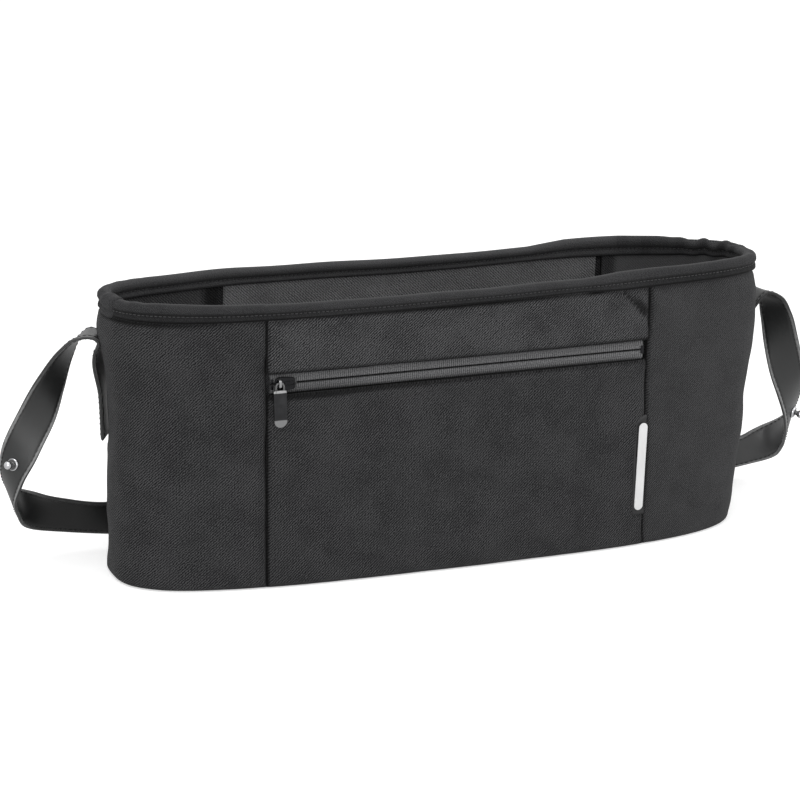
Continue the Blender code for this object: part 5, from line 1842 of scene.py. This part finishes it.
    def stitching(self) -> None:
        """Stitches along both edges on both faces, and bars where the ends are sewn down."""
        off, out, near = self.width / 2 - self.sewn, self.thick / 2 - self.bite, 0.0022
        long = Sewing(0.0032, 0.0023, self.sewing, "leather_thread", Slot.LEATHER)
        short = Sewing(0.0030, 0.0022, self.sewing, "leather_thread", Slot.LEATHER)
        keep = (self.reach > near) & (self.reach < self.reach[-1] - near)
        for edge, sign in (("front", -1.0), ("rear", 1.0)):
            line = self.centre + self.across * sign * off - self.normal * self.pressed(0.81)[:, None]
            for face, way in (("outer", 1.0), ("inner", -1.0)):
                path = line + self.normal * way * out
                self.shop.stitches(f"{self.side}_strap_{edge}_{face}_stitches", path[keep], self.normal[keep] * way,
                                   long)
        for name, place in (("side", near), ("side_upper", 0.016), ("back", self.reach[-1] - near),
                            ("back_upper", self.reach[-1] - 0.018)):
            index = int(np.argmin(np.abs(self.reach - place)))
            share = np.linspace(-1, 1, 12)
            path = self.centre[index] + self.across[index] * (share * off)[:, None]
            if name.startswith("side"):
                path = path - self.normal[index] * (self.pressed(share[None, :] * 0.81)[index])[:, None]
            normal = np.broadcast_to(self.normal[index], path.shape)
            self.shop.stitches(f"{self.side}_strap_{name}_bar", path + normal * out, normal, short)

    def stud(self) -> None:
        """Ball stud on the outer face and the slotted screw behind it."""
        index = int(round(self.stud_share * (len(self.reach) - 1)))
        face = Vector(self.normal[index])
        ball, neck, flange, gap = self.ball, self.neck, self.flange, self.thick / 2 + 0.0002
        rise = 0.0010 + 0.0014 + math.sqrt(ball ** 2 - neck ** 2) + 0.0005
        profile = [(0.0001, -0.0004), (flange - 0.0004, -0.0004), (flange, 0.0), (flange, 0.0005),
                   (flange - 0.0002, 0.0010), (flange - 0.0007, 0.0014), (neck + 0.0005, 0.0016), (neck, 0.0021)]
        profile += [(ball * math.sin(t), rise - ball * math.cos(t))
                    for t in np.linspace(math.asin(neck / ball), math.pi - 0.04, 22)]
        self.turned("stud_ball", profile, Vector(self.centre[index]) + face * gap, face, "stud")
        profile = [(0.0001, -0.0003), (0.0032, -0.0003), (0.0036, 0.0), (0.0036, 0.0007), (0.0034, 0.0011),
                   (0.0029, 0.0014), (0.0018, 0.00155), (0.0001, 0.0016)]
        self.turned("stud_cap", profile, Vector(self.centre[index]) - face * gap, -face, "stud_screw")

    def turned(self, name: str, profile: list[tuple[float, float]], seat: Vector, axis: Vector,
               replaces: str) -> None:
        """Lathe a piece about an axis; a screw gets its slot.

        Args:
            name: the piece's name, without the side.
            profile: radii and heights.
            seat: place of its foot.
            axis: direction of its height.
            replaces: the CAD node it stands for, without the side.
        """
        outline = along(np.array(profile), np.linspace(0, 1, 60))
        t = turns(48)
        x = outline[:, :1] * np.cos(t)[None, :]
        y = outline[:, :1] * np.sin(t)[None, :]
        z = np.broadcast_to(outline[:, 1:], x.shape).copy()
        if replaces == "stud_screw":
            z -= 0.0007 * (1 - step01(np.abs(y), 0.00025, 0.0005)) * (outline[:, 1:] > 0.0009)
        uv = pairs(t[None, :] * 0.003, outline[:, 1:])
        item = object_from(f"{self.side}_{name}", Surface(np.dstack([x, y, z]), uv, closed_columns=True))
        item.data.transform(Matrix.Translation(seat) @ axis.to_track_quat("Z", "Y").to_matrix().to_4x4())
        self.shop.hand_over(item, "chrome", Slot.CHROME, replaces=(f"{self.side}_{replaces}",))


@dataclass
class Studio:
    """White floor, soft lights and the photograph's camera.

    Attributes:
        yaw, pitch, roll: the camera's turn, in degrees.
        lens, sensor: focal length and sensor width, in millimetres.
        distance: from the camera to its target, in metres.
        target: the point that the camera looks at.
        around: level of the white world for all but what is seen, mirrored or looked through.
        floor_tone: the floor's grey.
        floor_glow: light the floor adds to what the camera sees.
        floor_reach: half of the floor's side, in metres.
        lamps: each softbox's name, place, target, size and power.
    """

    yaw: float = 21.0
    pitch: float = 17.0
    roll: float = 0.8
    lens: float = 147.15
    sensor: float = 36.0
    distance: float = 1.994
    target: Vector = field(default_factory=lambda: Vector((-0.0073, 0.033, 0.080)))
    around: float = 0.55
    floor_tone: float = 0.88
    floor_glow: float = 0.50
    floor_reach: float = 8.0
    lamps: tuple = (
        ("key_above", (-0.5, -0.5, 2.1), (0, 0, 0.05), 1.7, 15.0),
        ("fill_front", (-1.3, -2.3, 0.9), (0, 0, 0.09), 1.4, 13.5),
        ("rim_right", (1.9, -0.6, 1.2), (0, 0, 0.09), 1.0, 12.0),
    )

    def build(self) -> None:
        """Set the world, floor, lights and camera."""
        self.world()
        self.floor()
        for lamp in self.lamps:
            self.area(*lamp)
        self.camera()

    def world(self) -> None:
        """White to the camera, in mirrors and through glass, and softer to everything else."""
        world = bpy.data.worlds.new("studio")
        world.use_nodes = True
        bpy.context.scene.world = world
        graph = Graph(world.node_tree)
        camera, glossy, glass = (graph.node("ShaderNodeLightPath", f"Is {kind} Ray")
                                 for kind in ("Camera", "Glossy", "Transmission"))
        seen = graph.math("MAXIMUM", graph.math("MAXIMUM", camera, glossy), glass)
        level = graph.node("ShaderNodeMapRange", "Result", None, {"To Min": self.around, "To Max": 1.0, "Value": seen})
        back = graph.tree.nodes["Background"]
        graph.put(back.inputs["Strength"], level)
        graph.put(back.inputs["Color"], (1.0, 1.0, 1.0, 1.0))

    def floor(self) -> None:
        """Pale floor that keeps only the contact shadow."""
        material = bpy.data.materials.new("floor")
        material.use_nodes = True
        graph = Graph(material.node_tree)
        graph.tree.nodes.clear()
        diffuse = graph.node("ShaderNodeBsdfDiffuse", 0, None, {"Color": (*grey(self.floor_tone), 1.0)})
        seen = graph.node("ShaderNodeLightPath", "Is Camera Ray")
        glow = graph.node("ShaderNodeEmission", 0, None, {"Strength": graph.math("MULTIPLY", seen, self.floor_glow)})
        both = graph.node("ShaderNodeAddShader", 0, None, {0: diffuse, 1: glow})
        out = graph.tree.nodes.new("ShaderNodeOutputMaterial")
        graph.put(out.inputs["Surface"], both)
        reach = (-self.floor_reach, self.floor_reach)
        grid = np.array([[(x, y, -0.0003) for x in reach] for y in reach])
        item = object_from("studio_floor", Surface(grid, grid[..., :2].copy()))
        item.data.materials.append(material)

    @staticmethod
    def area(name: str, place: Colour, target: Colour, size: float, power: float) -> None:
        """Square softbox that looks at a point."""
        light = bpy.data.lights.new(name, "AREA")
        light.size = size
        light.energy = power
        item = bpy.data.objects.new(name, light)
        item.location = place
        item.rotation_euler = (Vector(target) - Vector(place)).to_track_quat("-Z", "Y").to_euler()
        bpy.context.scene.collection.objects.link(item)

    def camera(self) -> None:
        """Camera at the photograph's angle: yaw about Z, pitch down, then roll."""
        yaw, pitch, roll = (math.radians(v) for v in (self.yaw, self.pitch, self.roll))
        ahead = Vector((math.sin(yaw) * math.cos(pitch), math.cos(yaw) * math.cos(pitch), -math.sin(pitch)))
        right = Vector((math.cos(yaw), -math.sin(yaw), 0.0))
        up = right.cross(ahead)
        x = math.cos(roll) * right + math.sin(roll) * up
        y = -math.sin(roll) * right + math.cos(roll) * up
        data = bpy.data.cameras.new("camera")
        data.lens = self.lens
        data.sensor_width = self.sensor
        data.clip_start = 0.01
        item = bpy.data.objects.new("camera", data)
        bpy.context.scene.collection.objects.link(item)
        spot = self.target - ahead * self.distance
        item.matrix_world = Matrix.Translation(spot) @ Matrix((x, y, -ahead)).transposed().to_4x4()
        bpy.context.scene.camera = item


def finishes() -> dict[str, bpy.types.Material]:
    """Every material, by the name that builders use."""
    wear = 0.00001
    made = {
        "twill": Twill("charcoal_twill", grey(0.010, 0.001), grey(0.074, 0.002)),
        "twill_left": Twill("charcoal_twill_left", grey(0.010, 0.001), grey(0.074, 0.002)),
        # Lighter copy of the charcoal twill for the right end, as painted light.
        "twill_right": Twill("charcoal_twill_right_painted_light", grey(0.022, 0.001), grey(0.072, 0.002), 0.00118),
        # Lighter copy of the charcoal twill for the panel above the zip, which faces the light: painted light.
        "twill_upper_painted_light": Twill("charcoal_twill_upper_painted_light", grey(0.009, 0.001), grey(0.108, 0.003)),
        # Lighter cloth inside the back, made lighter still as painted light for the shaded inside.
        "twill_inner": Twill("inner_twill", grey(0.075, 0.002), grey(0.245, 0.005)),
        "lining": Twill("lining_cloth", grey(0.022, 0.001), grey(0.080, 0.003), 0.0010),
        "binding": Twill("binding_tape", grey(0.018, 0.001), grey(0.066, 0.002), 0.0008, 58.0, 0.00012),
        "tape": Ribbed("zip_tape_weave", grey(0.060, 0.002), grey(0.270, 0.006)),
        "coil": Moulded("zip_coil_nylon", grey(0.035, 0.001), 0.35),
        # Painted highlights on the slider's bridge and at one end of its plates.
        "gunmetal": Metal("slider_gunmetal", grey(0.030, 0.002), 0.34, wear,
                          (("u", -0.1139, -0.1119, 0.34), ("u", 0.0056, 0.0066, 0.10))),
        # Painted highlights on the puller's loop, the top edge of its plate and its tip.
        "puller": Metal("puller_gunmetal", grey(0.048, 0.002), 0.42, wear,
                        (("v", -0.0040, 0.01, 0.17), ("v", -0.0059, -0.0044, 0.42), ("v", -0.05, -0.0219, 0.28))),
        "rubber": Moulded("tab_rubber", grey(0.014, 0.001), 0.45),
        "white": Moulded("plate_white", grey(0.86), 0.30, 0.3),
        "leather": Leather("strap_leather_black", (0.024, 0.025, 0.025), (0.27, 0.272, 0.272), 0.0110),
        "thread": Thread("binding_thread", grey(0.080, 0.002)),
        "thread_dark": Thread("binding_thread_inside", grey(0.030, 0.001)),
        "leather_thread": Thread("strap_thread", grey(0.016)),
        # Painted shade in a band at the top of the studs' flanges and necks, and of the caps.
        "chrome": Metal("stud_chrome_plate", grey(0.66, 0.02), 0.16, 0.000004, (("v", 0.0013, 0.0026, 0.10),)),
    }
    return {name: finish.build() for name, finish in made.items()}


def main() -> None:
    """Build the scene."""
    logging.basicConfig(level=logging.INFO, format="%(name)s: %(message)s")
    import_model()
    bpy.context.scene.view_settings.view_transform = "Standard"
    shop = Workshop(Form(), finishes())
    builders = (Body(shop), Rim(shop), Zip(shop), Label(shop),
                Strap(shop, "left", LEFT_RUN, 0.0195, 0.134), Strap(shop, "right", RIGHT_RUN, 0.0080, 0.106))
    for builder in builders:
        before = len(shop.made)
        builder.build()
        for piece, body in shop.made[before:]:
            LOG.info("%s: %s on %s", type(builder).__name__, piece, body)
    Studio().build()
    LOG.info("built %d pieces", len(shop.made))


if __name__ == "__main__":
    main()
